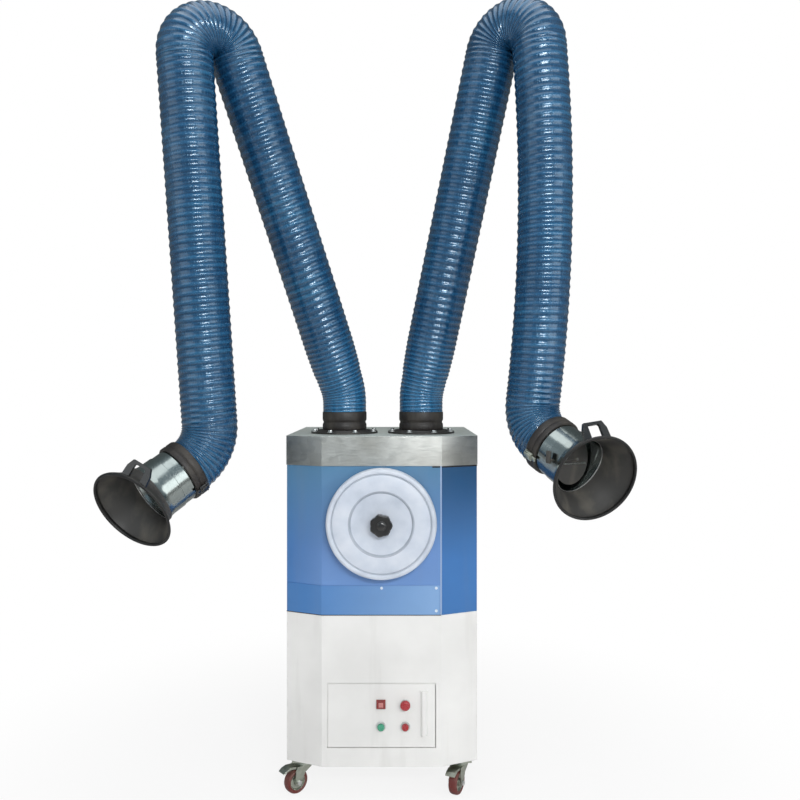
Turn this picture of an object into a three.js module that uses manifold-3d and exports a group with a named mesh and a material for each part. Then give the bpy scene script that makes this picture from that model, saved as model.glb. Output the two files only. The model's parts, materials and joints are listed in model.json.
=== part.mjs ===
// Mobile fume extractor with two jointed hose arms, in millimetres, +Z up, front facing -Y.
// Cabinet frame while building: x = 0 on the centre line, y = 0 on the front panel, z = 0 on the floor.
import * as THREE from 'three';
import { mergeVertices } from 'three/addons/utils/BufferGeometryUtils.js';
import Module from 'manifold-3d';

const wasm = await Module();
wasm.setup();

// Cabinet
const HALF_W = 315;
const HALF_FLAT = 195;
const CHAMFER_D = 50;
const DEPTH = 600;
const SHEET = 3;
const GAP = 0.3;
const Z_BASE = 110;
const Z_WHITE_TOP = 605;
const Z_BLUE_TOP = 1090;
const Z_CAP_TOP = 1187;
const Z_STRIP_TOP = 702;

// Filter and its round cover
const COVER_Z = 908;
const COVER_R = 178;
const COLLAR_R = 170;
const BULKHEAD_Y = 360;
const PLEATS = 20;

// Control door
const DOOR_HALF_W = 174;
const DOOR_Z0 = 176;
const DOOR_Z1 = 381;
const DOOR_GAP = 3;
const BUTTON_X = [-2, 77];
const BUTTON_Z = [243, 316];

// Fan and motor
const FAN_Y = 455;
const FAN_Z = [440, 560];
const MOTOR_R = 84;

// Casters: swivel axis, and the way each wheel trails
const CASTER_X = 262;
const CASTER_Y = [78, 526];
const CASTER_TOP = 105;
const TRAIL = 32;
const WHEEL_R = 40;
const CASTER_TRAIL_DEG = { front_left: 220, front_right: 243, rear_left: 105, rear_right: 74 };

// Arms: the hose runs in one upright plane that turns about the flange
const FLANGE_X = 134;
const FLANGE_Y = 200;
const HOSE_Z0 = 1262.3;
const SHOULDER_Z = 1325;
const HOSE_R = 84;
const HOSE_R_FOOT = 75;
const RIB_DEPTH = 6;
const WALL = 4;
const RIB_PITCH = 33;
const RING = 8;
const LOWER_LEN = 1150;
const UPPER_LEN = 1088;
const SHOULDER_R = 200;
const ELBOW_R = 89;
const WRIST_BEFORE = 122;
const WRIST_AFTER = 85;
const NOZZLE_LEN = 140;
const HOOD_LEN = 222;
const DAMPER_AT = 104;
const MOUTH_R = 134;
const HOOD_TILT = 20;
const HANDLE_LEAN = 48;
const ARMS = [
  {
    name: 'left', side: -1, plane: 51.4, lean: 21.3, fold: 162.85, sag: 0,
    wrist: 62.3, yaw: -0.4, roll: 84.5, handle: 54,
  },
  {
    name: 'right', side: 1, plane: 51.3, lean: 14.6, fold: 160.1, sag: 12.5,
    wrist: 70, yaw: 13.5, roll: 254.9, handle: -59,
  },
];

const PAINT = {
  blue: [0x4f7fb5, 0.42, 0.0],
  white: [0xe4e3de, 0.45, 0.0],
  steel: [0xb4b6b4, 0.35, 0.9],
  zinc: [0x9aa19a, 0.4, 0.85],
  disc: [0xd3dde6, 0.4, 0.0],
  black: [0x2b2927, 0.6, 0.0],
  charcoal: [0x45433f, 0.65, 0.0],
  hose: [0x2f6299, 0.35, 0.0],
  tread: [0x5a2420, 0.55, 0.0],
  red: [0xb43237, 0.35, 0.0],
  green: [0x4fb08d, 0.35, 0.0],
  paper: [0xd9d2bd, 0.85, 0.0],
  motor: [0x5d676e, 0.5, 0.2],
  fan: [0x8f9698, 0.4, 0.7],
};

const rad = THREE.MathUtils.degToRad;

// Solids

function toSolid(geometry) {
  const bare = geometry.clone();
  bare.deleteAttribute('normal');
  bare.deleteAttribute('uv');
  const welded = mergeVertices(bare, 1e-4);
  const vertProperties = new Float32Array(welded.attributes.position.array);
  const triVerts = new Uint32Array(welded.index.array);
  return new wasm.Manifold(new wasm.Mesh({ numProp: 3, vertProperties, triVerts }));
}

function toGeometry(solid) {
  const mesh = solid.simplify(0.02).getMesh();
  const geometry = new THREE.BufferGeometry();
  const position = new THREE.BufferAttribute(new Float32Array(mesh.vertProperties), 3);
  geometry.setAttribute('position', position);
  geometry.setIndex(new THREE.BufferAttribute(new Uint32Array(mesh.triVerts), 1));
  const flat = geometry.toNonIndexed();
  flat.computeVertexNormals();
  return flat;
}

function join(...geometries) {
  return toGeometry(wasm.Manifold.union(geometries.map(toSolid)));
}

function cut(geometry, ...tools) {
  return toGeometry(tools.map(toSolid).reduce((body, tool) => body.subtract(tool), toSolid(geometry)));
}

function box(x0, x1, y0, y1, z0, z1) {
  const geometry = new THREE.BoxGeometry(x1 - x0, y1 - y0, z1 - z0);
  return geometry.translate((x0 + x1) / 2, (y0 + y1) / 2, (z0 + z1) / 2);
}

function rodY(r, y0, y1, x, z, n = 20) {
  return new THREE.CylinderGeometry(r, r, y1 - y0, n).translate(x, (y0 + y1) / 2, z);
}

function rodZ(r, z0, z1, x, y, n = 20) {
  const geometry = new THREE.CylinderGeometry(r, r, z1 - z0, n).rotateX(Math.PI / 2);
  return geometry.translate(x, y, (z0 + z1) / 2);
}

function outline(points) {
  return new THREE.Shape(points.map(([x, y]) => new THREE.Vector2(x, y)));
}

function extrudeZ(shape, z0, z1) {
  const options = { depth: z1 - z0, bevelEnabled: false, curveSegments: 10 };
  return new THREE.ExtrudeGeometry(shape, options).translate(0, 0, z0);
}

// Extrudes an (x, z) outline along Y.
function extrudeY(shape, y0, y1) {
  return extrudeZ(shape, -y1, -y0).rotateX(Math.PI / 2);
}

// Turns a closed (radius, y) profile about the Y axis.
function turnY(profile, n) {
  const points = profile.map(([r, y]) => new THREE.Vector2(r, y));
  return facedOut(new THREE.LatheGeometry(points, n));
}

function turnZ(profile, n) {
  return turnY(profile, n).rotateX(Math.PI / 2);
}

function ringProfile(profile) {
  return [...profile, profile[0]];
}

// Reverses the triangles when they face inwards.
function facedOut(geometry) {
  const flat = geometry.index ? geometry.toNonIndexed() : geometry;
  const p = flat.attributes.position;
  const [a, b, c] = [new THREE.Vector3(), new THREE.Vector3(), new THREE.Vector3()];
  let volume = 0;
  for (let i = 0; i < p.count; i += 3) {
    a.fromBufferAttribute(p, i);
    b.fromBufferAttribute(p, i + 1);
    c.fromBufferAttribute(p, i + 2);
    volume += a.dot(b.cross(c));
  }
  if (volume < 0) {
    for (let i = 0; i < p.count; i += 3) {
      b.fromBufferAttribute(p, i + 1);
      c.fromBufferAttribute(p, i + 2);
      p.setXYZ(i + 1, c.x, c.y, c.z);
      p.setXYZ(i + 2, b.x, b.y, b.z);
    }
  }
  flat.computeVertexNormals();
  return flat;
}

function part(name, geometry, paint) {
  const [color, roughness, metalness] = PAINT[paint];
  const mesh = new THREE.Mesh(geometry, new THREE.MeshStandardMaterial({ color, roughness, metalness }));
  mesh.name = name;
  return mesh;
}

// Cabinet

// The plan of the cabinet, with its two shallow front chamfers, moved inwards by an inset.
function plan(inset) {
  const length = Math.hypot(HALF_W - HALF_FLAT, CHAMFER_D);
  const nx = CHAMFER_D / length;
  const ny = (HALF_W - HALF_FLAT) / length;
  const flat = HALF_FLAT - (inset * (1 - ny)) / nx;
  const corner = CHAMFER_D + (inset * (1 - nx)) / ny;
  const side = HALF_W - inset;
  const back = DEPTH - inset;
  return [[-flat, inset], [flat, inset], [side, corner], [side, back], [-side, back], [-side, corner]];
}

function planRing(outset, inset, z0, z1) {
  const shape = outline(plan(outset));
  shape.holes.push(new THREE.Path(outline(plan(inset)).getPoints()));
  return extrudeZ(shape, z0, z1);
}

function basePan() {
  const tray = planRing(SHEET + GAP, 2 * SHEET + GAP, Z_BASE, Z_BASE + 40);
  const floor = extrudeZ(outline(plan(SHEET + GAP)), Z_BASE, Z_BASE + SHEET);
  const plates = [];
  for (const sx of [-1, 1]) {
    for (const y of CASTER_Y) {
      plates.push(box(sx * CASTER_X - 35, sx * CASTER_X + 35, y - 38, y + 38, CASTER_TOP, Z_BASE + 1));
    }
  }
  return join(tray, floor, ...plates);
}

function lowerShell() {
  const wrap = planRing(0, SHEET, Z_BASE + 1 + GAP, Z_WHITE_TOP);
  const w = DOOR_HALF_W + DOOR_GAP;
  const z0 = DOOR_Z0 - DOOR_GAP;
  const z1 = DOOR_Z1 + DOOR_GAP;
  const boxWall = box(-w - SHEET, w + SHEET, 1, 96, z0 - SHEET, z1 + SHEET);
  const boxSpace = box(-w, w, -1, 93, z0, z1);
  const rearOpening = box(-190, 190, DEPTH - 10, DEPTH + 10, 190, 530);
  return cut(join(wrap, boxWall), boxSpace, rearOpening);
}

// Back panel with pressed louvres: each slot has a sloping hood above it.
function rearGrille() {
  const y0 = DEPTH + GAP;
  let panel = box(-212, 212, y0, y0 + 2, 166, 554);
  const lip = outline([[0, 0], [16, 0], [2, 30], [0, 30]]);
  const slots = [];
  const lips = [];
  for (let i = 0; i < 6; i += 1) {
    const z = 205 + i * 54;
    slots.push(box(-160, 160, y0 - 1, y0 + 3, z + 2, z + 20));
    lips.push(louvre(lip, -164, 164, y0 + 1, z));
  }
  panel = cut(panel, ...slots);
  return join(panel, ...lips);
}

function louvre(profile, x0, x1, y, z) {
  const top = extrudeZ(profile, 0, x1 - x0).rotateX(Math.PI / 2).rotateZ(Math.PI / 2);
  const solid = facedOut(top.translate(x0, y, z + 2));
  const space = extrudeZ(outline([[-2, -1], [14, -1], [1, 26], [-2, 26]]), 0, x1 - x0 - 8);
  space.rotateX(Math.PI / 2).rotateZ(Math.PI / 2);
  return cut(solid, facedOut(space.translate(x0 + 4, y, z + 2)));
}

function upperShell() {
  const wrap = planRing(0, SHEET, Z_WHITE_TOP + GAP, Z_BLUE_TOP);
  const collar = rodY(COLLAR_R, -30, SHEET - 0.5, 0, COVER_Z, 32);
  const bore = rodY(COLLAR_R - 4, -40, 20, 0, COVER_Z, 32);
  const hatch = box(-165, 165, -5, 10, Z_WHITE_TOP + 25, Z_STRIP_TOP - 20);
  return cut(join(wrap, collar), bore, hatch);
}

function stripPanel() {
  const edge = HALF_FLAT - 6;
  const [outer, inner] = [plan(-2.3), plan(-GAP)];
  const near = ([x, y]) => [x + 5, y - 5 * (CHAMFER_D / (HALF_W - HALF_FLAT))];
  const bent = outline([
    near(outer[5]), outer[0], [edge, -2.3], [edge, -GAP], inner[0], near(inner[5]),
  ]);
  const face = extrudeZ(bent, Z_WHITE_TOP + 2, Z_STRIP_TOP);
  const stiffener = box(-160, 160, -1, 8, Z_WHITE_TOP + 30, Z_STRIP_TOP - 25);
  const hollow = box(-157, 157, 0.5, 12, Z_WHITE_TOP + 33, Z_STRIP_TOP - 28);
  return cut(join(face, stiffener), hollow);
}

function topCap() {
  const wall = planRing(-2, SHEET - 2, Z_BLUE_TOP + GAP, Z_CAP_TOP);
  const roof = extrudeZ(outline(plan(-2)), Z_CAP_TOP - SHEET, Z_CAP_TOP);
  const step = planRing(-1, SHEET + 2 + GAP, Z_BLUE_TOP + GAP, Z_BLUE_TOP + GAP + 2);
  const lip = planRing(SHEET + GAP, SHEET + 2 + GAP, Z_BLUE_TOP - 14, Z_BLUE_TOP + 2);
  const [z0, z1] = [Z_CAP_TOP - 20, Z_CAP_TOP + 20];
  const holes = ARMS.map(({ side }) => rodZ(72, z0, z1, side * FLANGE_X, FLANGE_Y, 20));
  return cut(join(wall, roof, step, lip), ...holes);
}

// Folded sheet that parts the dusty side from the clean side: a floor and an upright wall.
function bulkhead() {
  const floor = extrudeZ(outline(plan(SHEET + GAP)), Z_WHITE_TOP + 10, Z_WHITE_TOP + 13);
  const w = HALF_W - 4;
  const wall = box(-w, w, BULKHEAD_Y, BULKHEAD_Y + SHEET, Z_WHITE_TOP + 12, Z_BLUE_TOP - 20);
  const airWay = rodY(88, BULKHEAD_Y - 10, BULKHEAD_Y + 20, 0, COVER_Z, 18);
  const fanInlet = rodZ(76, Z_WHITE_TOP - 10, Z_WHITE_TOP + 30, 0, FAN_Y, 18);
  return cut(join(floor, wall), airWay, fanInlet);
}

// Pleated filter cartridge: a zigzag sleeve between two moulded end caps.
function filterCartridge() {
  const pleat = [];
  for (let i = 0; i < 2 * PLEATS; i += 1) {
    const a = (Math.PI * i) / PLEATS;
    const r = i % 2 ? 122 : 148;
    pleat.push([r * Math.cos(a), r * Math.sin(a) + COVER_Z]);
  }
  const sleeve = extrudeY(outline(pleat), 30, BULKHEAD_Y - 10);
  const frontCap = rodY(152, 18, 34, 0, COVER_Z, 24);
  const rearCap = rodY(152, BULKHEAD_Y - 16, BULKHEAD_Y - GAP, 0, COVER_Z, 24);
  const core = rodY(85, 34, BULKHEAD_Y + 5, 0, COVER_Z, 16);
  const rodHole = rodY(9, 10, 50, 0, COVER_Z, 12);
  return cut(join(sleeve, frontCap, rearCap), core, rodHole);
}

function drawRod() {
  const y0 = BULKHEAD_Y + SHEET + GAP;
  const bar = box(-112, 112, y0, y0 + 6, COVER_Z - 15, COVER_Z + 15);
  return join(bar, rodY(6, -68, y0 + 3, 0, COVER_Z, 12));
}

// Dished round cover with a rolled rim, a groove inside it and a sunk centre.
function filterCover() {
  const profile = [
    [7, -41], [98, -41], [105, -47], [156, -47], [159.5, -44.5], [165, -50.5], [172, -50],
    [COVER_R, -43], [COVER_R, -9], [COVER_R - 3.5, -9], [COVER_R - 3.5, -40],
    [109, -43], [101, -37.5], [7, -37.5],
  ];
  return turnY(ringProfile(profile), 28).translate(0, 0, COVER_Z);
}

function lobedRim(r, lobes, depth) {
  const points = [];
  for (let i = 0; i < lobes * 4; i += 1) {
    const a = (2 * Math.PI * i) / (lobes * 4);
    const reach = r - depth * (0.5 - 0.5 * Math.cos(lobes * a));
    points.push([reach * Math.cos(a), reach * Math.sin(a)]);
  }
  return outline(points);
}

function coverKnob() {
  const bevel = { bevelEnabled: true, bevelThickness: 4, bevelSize: 4, bevelOffset: -4, bevelSegments: 1 };
  const head = new THREE.ExtrudeGeometry(lobedRim(37, 7, 4), { depth: 20, ...bevel });
  head.rotateX(Math.PI / 2).translate(0, -54, 0);
  const neck = rodY(17, -56, -41.4, 0, 0, 14);
  const bore = rodY(6.4, -71, -30, 0, 0, 10);
  return cut(join(head, neck), bore).translate(0, 0, COVER_Z);
}

// Control door

function controlDoor() {
  const w = DOOR_HALF_W;
  const face = box(-w, w, 0, 2.5, DOOR_Z0, DOOR_Z1);
  const rim = box(-w + 6, w - 6, 2, 15, DOOR_Z0 + 6, DOOR_Z1 - 6);
  const inside = box(-w + 8.5, w - 8.5, 2.5, 20, DOOR_Z0 + 8.5, DOOR_Z1 - 8.5);
  const pullProfile = outline([[127, 1], [130, -9], [133, -12], [144, -12], [147, -9], [150, 1]]);
  const pull = extrudeZ(pullProfile, 215, 359);
  const spots = [[0, 0], [1, 0], [1, 1]];
  const rings = spots.map(([i, j]) => rodY(15, -5, 1, BUTTON_X[i], BUTTON_Z[j], 16));
  const holes = spots.map(([i, j]) => rodY(11.8, -10, 10, BUTTON_X[i], BUTTON_Z[j], 12));
  const lampHole = rodY(8.4, -10, 10, BUTTON_X[0], BUTTON_Z[1], 10);
  return cut(join(cut(join(face, rim), inside), pull, ...rings), ...holes, lampHole);
}

function pushButton(x, z) {
  const profile = [[0, 22], [8, 22], [8, 5], [11.2, 5], [11.2, -11], [9.6, -13.5], [0, -14.5]];
  return turnY(profile, 12).translate(x, 0, z);
}

function mushroomHead(x, z) {
  const profile = [[0, 20], [11, 20], [11, -9], [15.5, -9.5], [16.5, -15], [12.5, -21], [0, -23]];
  return turnY(profile, 12).translate(x, 0, z);
}

function squareLamp(x, z) {
  const bezel = box(x - 15, x + 15, -4, -GAP, z - 15, z + 15);
  const lens = box(x - 12.5, x + 12.5, -9, -3, z - 12.5, z + 12.5);
  return join(bezel, lens, rodY(8, -2, 18, x, z, 10));
}

// Fan and motor

// Spiral casing outline, opening into a straight outlet that faces the back.
function scrollOutline(wall) {
  const points = [];
  const start = 0.42;
  for (let i = 0; i <= 16; i += 1) {
    const a = start + ((2 * Math.PI - start) * i) / 16;
    const r = 100 + (38 * a) / (2 * Math.PI) - wall;
    points.push([r * Math.cos(a), r * Math.sin(a) + FAN_Y]);
  }
  const end = FAN_Y + 128 + wall;
  const inner = 93.8 + wall;
  points.push([138 - wall, end], [inner, end]);
  if (wall > 0) {
    points.push([inner, points[0][1]]);
  }
  return outline(points);
}

function fanScroll() {
  const [z0, z1] = FAN_Z;
  const casing = extrudeZ(scrollOutline(0), z0, z1);
  const space = extrudeZ(scrollOutline(SHEET), z0 + SHEET, z1 - SHEET);
  const inlet = rodZ(75, z1 - 10, z1 + 10, 0, FAN_Y, 18);
  const shaftHole = rodZ(12, z0 - 10, z0 + 10, 0, FAN_Y, 10);
  return cut(casing, space, inlet, shaftHole);
}

function impeller() {
  const [z0, z1] = FAN_Z;
  const pieces = [
    rodZ(88, z0 + 9, z0 + 12, 0, 0, 18),
    rodZ(20, z0 + 10, z0 + 44, 0, 0, 10),
    rodZ(7, z0 - 58, z0 + 12, 0, 0, 8),
  ];
  for (let i = 0; i < 9; i += 1) {
    const blade = box(-24, 24, -1.5, 1.5, z0 + 11, z1 - 12).rotateZ(-0.7).translate(60, 0, 0);
    pieces.push(blade.rotateZ((2 * Math.PI * i) / 9));
  }
  return join(...pieces).translate(0, FAN_Y, 0);
}

function fanMotor() {
  const fins = [];
  for (let i = 0; i < 32; i += 1) {
    const a = (2 * Math.PI * i) / 32;
    const r = i % 2 ? MOTOR_R : MOTOR_R - 7;
    fins.push([r * Math.cos(a), r * Math.sin(a)]);
  }
  const top = FAN_Z[0] - GAP;
  const body = extrudeZ(outline(fins), 230, top - 8);
  const flange = rodZ(98, top - 10, top, 0, 0, 18);
  const foot = box(-70, 70, -55, 55, Z_BASE + SHEET + GAP, 232);
  const bore = rodZ(7.6, top - 62, top + 5, 0, 0, 10);
  return cut(join(body, flange, foot), bore).translate(0, FAN_Y, 0);
}

function cableGland() {
  const hex = rodY(15, DEPTH + GAP, DEPTH + 10, 0, 0, 6);
  const rise = [[6, 8], [13, 8], [12, 20], [8.5, 27], [6, 27]];
  const dome = turnY(ringProfile(rise), 10).translate(0, DEPTH, 0);
  const bore = rodY(6, DEPTH - 5, DEPTH + 40, 0, 0, 10);
  return cut(join(hex, dome), bore).translate(262, 0, 185);
}

// Casters, built with the trail along +X and the swivel axis on Z

function casterFork() {
  const side = outline([
    [-20, 84], [-16, 92], [38, 92], [45, 76], [43, 36], [38, 30], [27, 30], [8, 68],
  ]);
  const cheeks = [extrudeY(side, 18.5, 21.5), extrudeY(side, -21.5, -18.5)];
  const crown = box(-20, 38, -20, 20, 87, 92);
  const race = turnZ([[0, 91], [28, 91], [26, CASTER_TOP - GAP], [0, CASTER_TOP - GAP]], 12);
  return join(...cheeks, crown, race, rodY(5, -24, 24, TRAIL, WHEEL_R, 8));
}

function casterWheel() {
  const sides = 16;
  const rim = WHEEL_R / Math.cos(Math.PI / sides);
  const half = [[5.6, 13.5], [28, 13.5], [31, 15.5], [rim, 12]];
  const profile = [...half, ...half.map(([r, y]) => [r, -y]).reverse()];
  const wheel = turnY(ringProfile(profile), sides).rotateY(Math.PI / sides);
  return wheel.translate(TRAIL, 0, WHEEL_R);
}

function brakePedal() {
  const side = outline([
    [40.8, 85], [40.8, 93], [62, 95], [78, 90], [88, 82], [87, 79], [76, 84], [60, 88],
  ]);
  return extrudeY(side, -17, 17);
}

function caster(name, x, y, braked) {
  const group = new THREE.Group();
  group.position.set(x, y, 0);
  group.rotation.z = rad(CASTER_TRAIL_DEG[name]);
  group.add(part(`caster_fork_${name}`, casterFork(), 'zinc'));
  group.add(part(`caster_wheel_${name}`, casterWheel(), 'tread'));
  if (braked) {
    group.add(part(`brake_pedal_${name}`, brakePedal(), 'zinc'));
  }
  return group;
}

// Arms

// A plane route made of straight runs and arcs. Headings are measured from straight up, towards +X.
class Route {
  constructor(z, runs) {
    this.runs = [];
    this.length = 0;
    let place = { x: 0, z, heading: 0 };
    for (const [length, turn] of runs) {
      const run = { start: this.length, length, turn, place };
      this.runs.push(run);
      this.length += length;
      place = this.along(run, length);
    }
  }

  along({ length, turn, place }, distance) {
    const bend = (turn * distance) / length;
    const middle = place.heading + bend / 2;
    const chord = Math.abs(bend) < 1e-9 ? distance : (2 * Math.sin(bend / 2) * distance) / bend;
    return {
      x: place.x + chord * Math.sin(middle),
      z: place.z + chord * Math.cos(middle),
      heading: place.heading + bend,
    };
  }

  at(distance) {
    const run = this.runs.findLast((r) => r.start <= distance + 1e-9);
    return this.along(run, distance - run.start);
  }

  // The point at a distance along the route, a radius out from it, at an angle round it.
  point(distance, radius, angle) {
    const { x, z, heading } = this.at(distance);
    const out = radius * Math.cos(angle);
    const side = radius * Math.sin(angle);
    return [x + out * Math.cos(heading), side, z - out * Math.sin(heading)];
  }

  // A place in the frame of the route: along the tangent, across the plane and out of the bend.
  local(distance, geometry) {
    const { x, z, heading } = this.at(distance);
    return geometry.rotateY(heading).translate(x, 0, z);
  }
}

const FLARE = new Route(0, [[HOOD_LEN - NOZZLE_LEN, rad(HOOD_TILT)]]);

// Sweeps a closed loop of [distance, radius] pairs round the route, like a lathe on a bent axis.
function sweepLoop(route, loop, n) {
  const vertices = [];
  for (const [distance, radius] of loop) {
    for (let j = 0; j < n; j += 1) {
      vertices.push(...route.point(distance, radius, (2 * Math.PI * j) / n));
    }
  }
  const index = [];
  for (let i = 0; i < loop.length; i += 1) {
    const next = (i + 1) % loop.length;
    for (let j = 0; j < n; j += 1) {
      const k = (j + 1) % n;
      const [a, b, c, d] = [i * n + j, i * n + k, next * n + k, next * n + j];
      index.push(a, b, c, a, c, d);
    }
  }
  const geometry = new THREE.BufferGeometry();
  geometry.setAttribute('position', new THREE.Float32BufferAttribute(vertices, 3));
  geometry.setIndex(index);
  return facedOut(geometry);
}

// Solid bar along the route.
function sweepBar(route, from, to, radius, steps, n = 6) {
  const vertices = [];
  for (let i = 0; i <= steps; i += 1) {
    for (let j = 0; j < n; j += 1) {
      vertices.push(...route.point(from + ((to - from) * i) / steps, radius, (2 * Math.PI * j) / n));
    }
  }
  const index = [];
  for (let i = 0; i < steps; i += 1) {
    for (let j = 0; j < n; j += 1) {
      const k = (j + 1) % n;
      const [a, b, c, d] = [i * n + j, i * n + k, (i + 1) * n + k, (i + 1) * n + j];
      index.push(a, b, c, a, c, d);
    }
  }
  const last = steps * n;
  for (let j = 1; j < n - 1; j += 1) {
    index.push(0, j + 1, j, last, last + j, last + j + 1);
  }
  const geometry = new THREE.BufferGeometry();
  geometry.setAttribute('position', new THREE.Float32BufferAttribute(vertices, 3));
  geometry.setIndex(index);
  return facedOut(geometry);
}

// The hose is squeezed onto its collar at the foot and reaches its full width a short way up.
function hoseRadius(distance) {
  const t = THREE.MathUtils.smoothstep(distance, 0, 260);
  return HOSE_R_FOOT + (HOSE_R - HOSE_R_FOOT) * t;
}

// Ribbed hose: a crest and a valley ring for each rib outside, and a bore with fewer rings inside.
function hose(route, from, to, boreEvery) {
  const ribs = Math.round((to - from) / RIB_PITCH);
  const pitch = (to - from) / ribs;
  const loop = [];
  for (let i = 0; i < ribs; i += 1) {
    const d = from + i * pitch;
    loop.push([d, hoseRadius(d) - RIB_DEPTH], [d + pitch / 2, hoseRadius(d)]);
  }
  loop.push([to, hoseRadius(to) - RIB_DEPTH]);
  for (let i = ribs; i > 0; i -= boreEvery) {
    const d = from + i * pitch;
    loop.push([d, hoseRadius(d) - RIB_DEPTH - WALL]);
  }
  loop.push([from, hoseRadius(from) - RIB_DEPTH - WALL]);
  return sweepLoop(route, loop, RING);
}

function swivelFlange() {
  const z = Z_CAP_TOP + GAP;
  const profile = [[72.5, z], [116, z], [116, z + 7], [95, z + 7], [92, z + 12], [72.5, z + 12]];
  return turnZ(ringProfile(profile), 20);
}

// Turning collar of the hose with the fork of the shoulder joint inside it.
function hoseCuff() {
  const top = HOSE_Z0 - GAP;
  const collar = turnZ(ringProfile([
    [70.4, 1181], [70.4, 1200], [76, 1200], [76, 1222], [73.5, 1226], [76, 1230],
    [76, top], [66, top], [66, 1181],
  ]), 18);
  const bar = box(-9, 9, -68, 68, 1201, 1213);
  const saddle = box(-14, 14, -17, 17, 1203, 1213);
  const cheeks = [12, -17].map((y) => box(-14, 14, y, y + 5, 1205, SHOULDER_Z + 15));
  return join(collar, bar, saddle, ...cheeks, rodY(6, -17, 17, 0, SHOULDER_Z, 8));
}

// Eye of a link: a disc across the plane with a short neck along the link.
function eye(r, half, reach) {
  return join(rodY(r, -half, half, 0, 0, 8), box(-r * 0.75, r * 0.75, -half, half, 0, reach));
}

function lowerLink(route, m) {
  const foot = cut(eye(15, 10, 40), rodY(6.5, -20, 20, 0, 0, 8));
  foot.rotateY(m.lean).translate(0, 0, SHOULDER_Z);
  const shaft = sweepBar(route, m.shoulderPivot + 30, m.elbowStart, 14, 1);
  const neck = sweepBar(route, m.elbowStart - 1, m.apex - 22, 14, 4);
  const head = cut(eye(18, 6, 26).rotateY(Math.PI), rodY(6.5, -20, 20, 0, 0, 8));
  return join(foot, shaft, neck, route.local(m.apex, head));
}

function upperLink(route, m) {
  const cheek = eye(18, 3, 34);
  const fork = join(
    cheek.clone().translate(0, 9.5, 0),
    cheek.clone().translate(0, -9.5, 0),
    rodY(6, -12, 12, 0, 0, 8),
    box(-13, 13, -12, 12, 24, 34),
  );
  const neck = sweepBar(route, m.apex + 26, m.elbowEnd + 1, 14, 4);
  const shaft = sweepBar(route, m.elbowEnd, m.seam - 30, 14, 3);
  const socket = cut(rodZ(14, -34, -3, 0, 0, 10), rodZ(9, -31, 5, 0, 0, 8));
  return join(route.local(m.apex, fork), neck, shaft, route.local(m.seam, socket));
}

// Short fork that turns on the end of the upper link and carries the hood's tilting joint.
function wristYoke(route, m) {
  const cheek = eye(16, 3, 30).rotateY(Math.PI);
  const fork = join(
    cheek.clone().translate(0, 9.5, WRIST_BEFORE),
    cheek.clone().translate(0, -9.5, WRIST_BEFORE),
    rodY(6, -12, 12, 0, WRIST_BEFORE, 8),
    rodZ(13, -2, WRIST_BEFORE - 22, 0, 0, 8),
    rodZ(7.5, -29, 0, 0, 0, 8),
  );
  return route.local(m.seam, fork);
}

function hoodCuff(route, m, side) {
  const e = m.hoseEnd;
  const ring = sweepLoop(route, [
    [e + 0.3, 83.8], [e + 0.3, 90], [e + 4, 92], [e + 20, 92], [e + 24, 89.5],
    [e + 28, 92], [e + 43, 91], [e + 43, 83.8],
  ], 18);
  const latch = join(box(-13, 13, 88, 108, 8, 40), box(-7, 7, 90, 101, 36, 50));
  latch.rotateZ(side > 0 ? rad(-212) : rad(-32));
  return join(ring, route.local(e, latch));
}

// Tube nozzle with a flared end, and inside it the spider that reaches back to the tilting joint.
function nozzle(route, m) {
  const e = m.hoseEnd;
  const shell = sweepLoop(route, [
    [e + 4, 82.4], [e + 44, 82.4], [e + 46, 84.5], [e + 82, 84.5], [e + 84, 86.5],
    [e + NOZZLE_LEN - 16, 87], [e + NOZZLE_LEN, 91], [e + NOZZLE_LEN, 88],
    [e + NOZZLE_LEN - 17, 83.5], [e + 4, 79.5],
  ], 18);
  const bar = box(-9, 9, -81.5, 81.5, 8, 18);
  const stem = rodZ(11, -WRIST_AFTER + 22, 14, 0, 0, 8);
  const head = cut(eye(15, 6, 40), rodY(6.5, -20, 20, 0, 0, 8)).translate(0, 0, -WRIST_AFTER);
  const spider = route.local(e, join(bar, stem, head));
  const shaftHole = route.local(e + DAMPER_AT, rodY(5.6, -100, -60, 0, 0, 8));
  return cut(join(shell, spider), shaftHole);
}

// The flare leans to one side as it widens. It is built upright on its own bent route, then turned
// round the nozzle and set on its end.
function onNozzle(route, m, roll, geometry) {
  return route.local(m.hoseEnd + NOZZLE_LEN, geometry.rotateZ(rad(roll)));
}

function flareOutside(clear) {
  return [[0.4, 92.6], [18, 97], [42, 111], [70, MOUTH_R], [FLARE.length, MOUTH_R]]
    .map(([distance, radius]) => [distance, radius + clear]);
}

function hood(route, m, { roll }) {
  const inside = [[FLARE.length, MOUTH_R - 4], [71.5, MOUTH_R - 4.5], [43, 107], [17, 93.5], [0.4, 88]];
  return onNozzle(route, m, roll, sweepLoop(FLARE, [...flareOutside(0), ...inside], 24));
}

// Bail handle with a finger gap, standing square on the outside of the flare behind the mouth.
function hoodHandle(route, m, { roll, handle }) {
  const half = [[42, -9], [40, 24], [30, 46]];
  const inner = [[15, 37], [19, 33], [19, -9]];
  const mirrored = (points) => points.map(([b, w]) => [-b, w]).reverse();
  const shape = outline([...half, ...mirrored(half), ...mirrored(inner), ...inner]);
  const bail = facedOut(extrudeZ(shape, -5, 5)).rotateX(-rad(HANDLE_LEAN)).translate(0, 126, 0);
  bail.rotateZ(rad(handle) - Math.PI / 2);
  const plug = sweepLoop(FLARE, [...flareOutside(0.5), [FLARE.length, 2], [0.4, 2]], 24);
  return onNozzle(route, m, roll, cut(FLARE.local(60, bail), plug));
}

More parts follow.
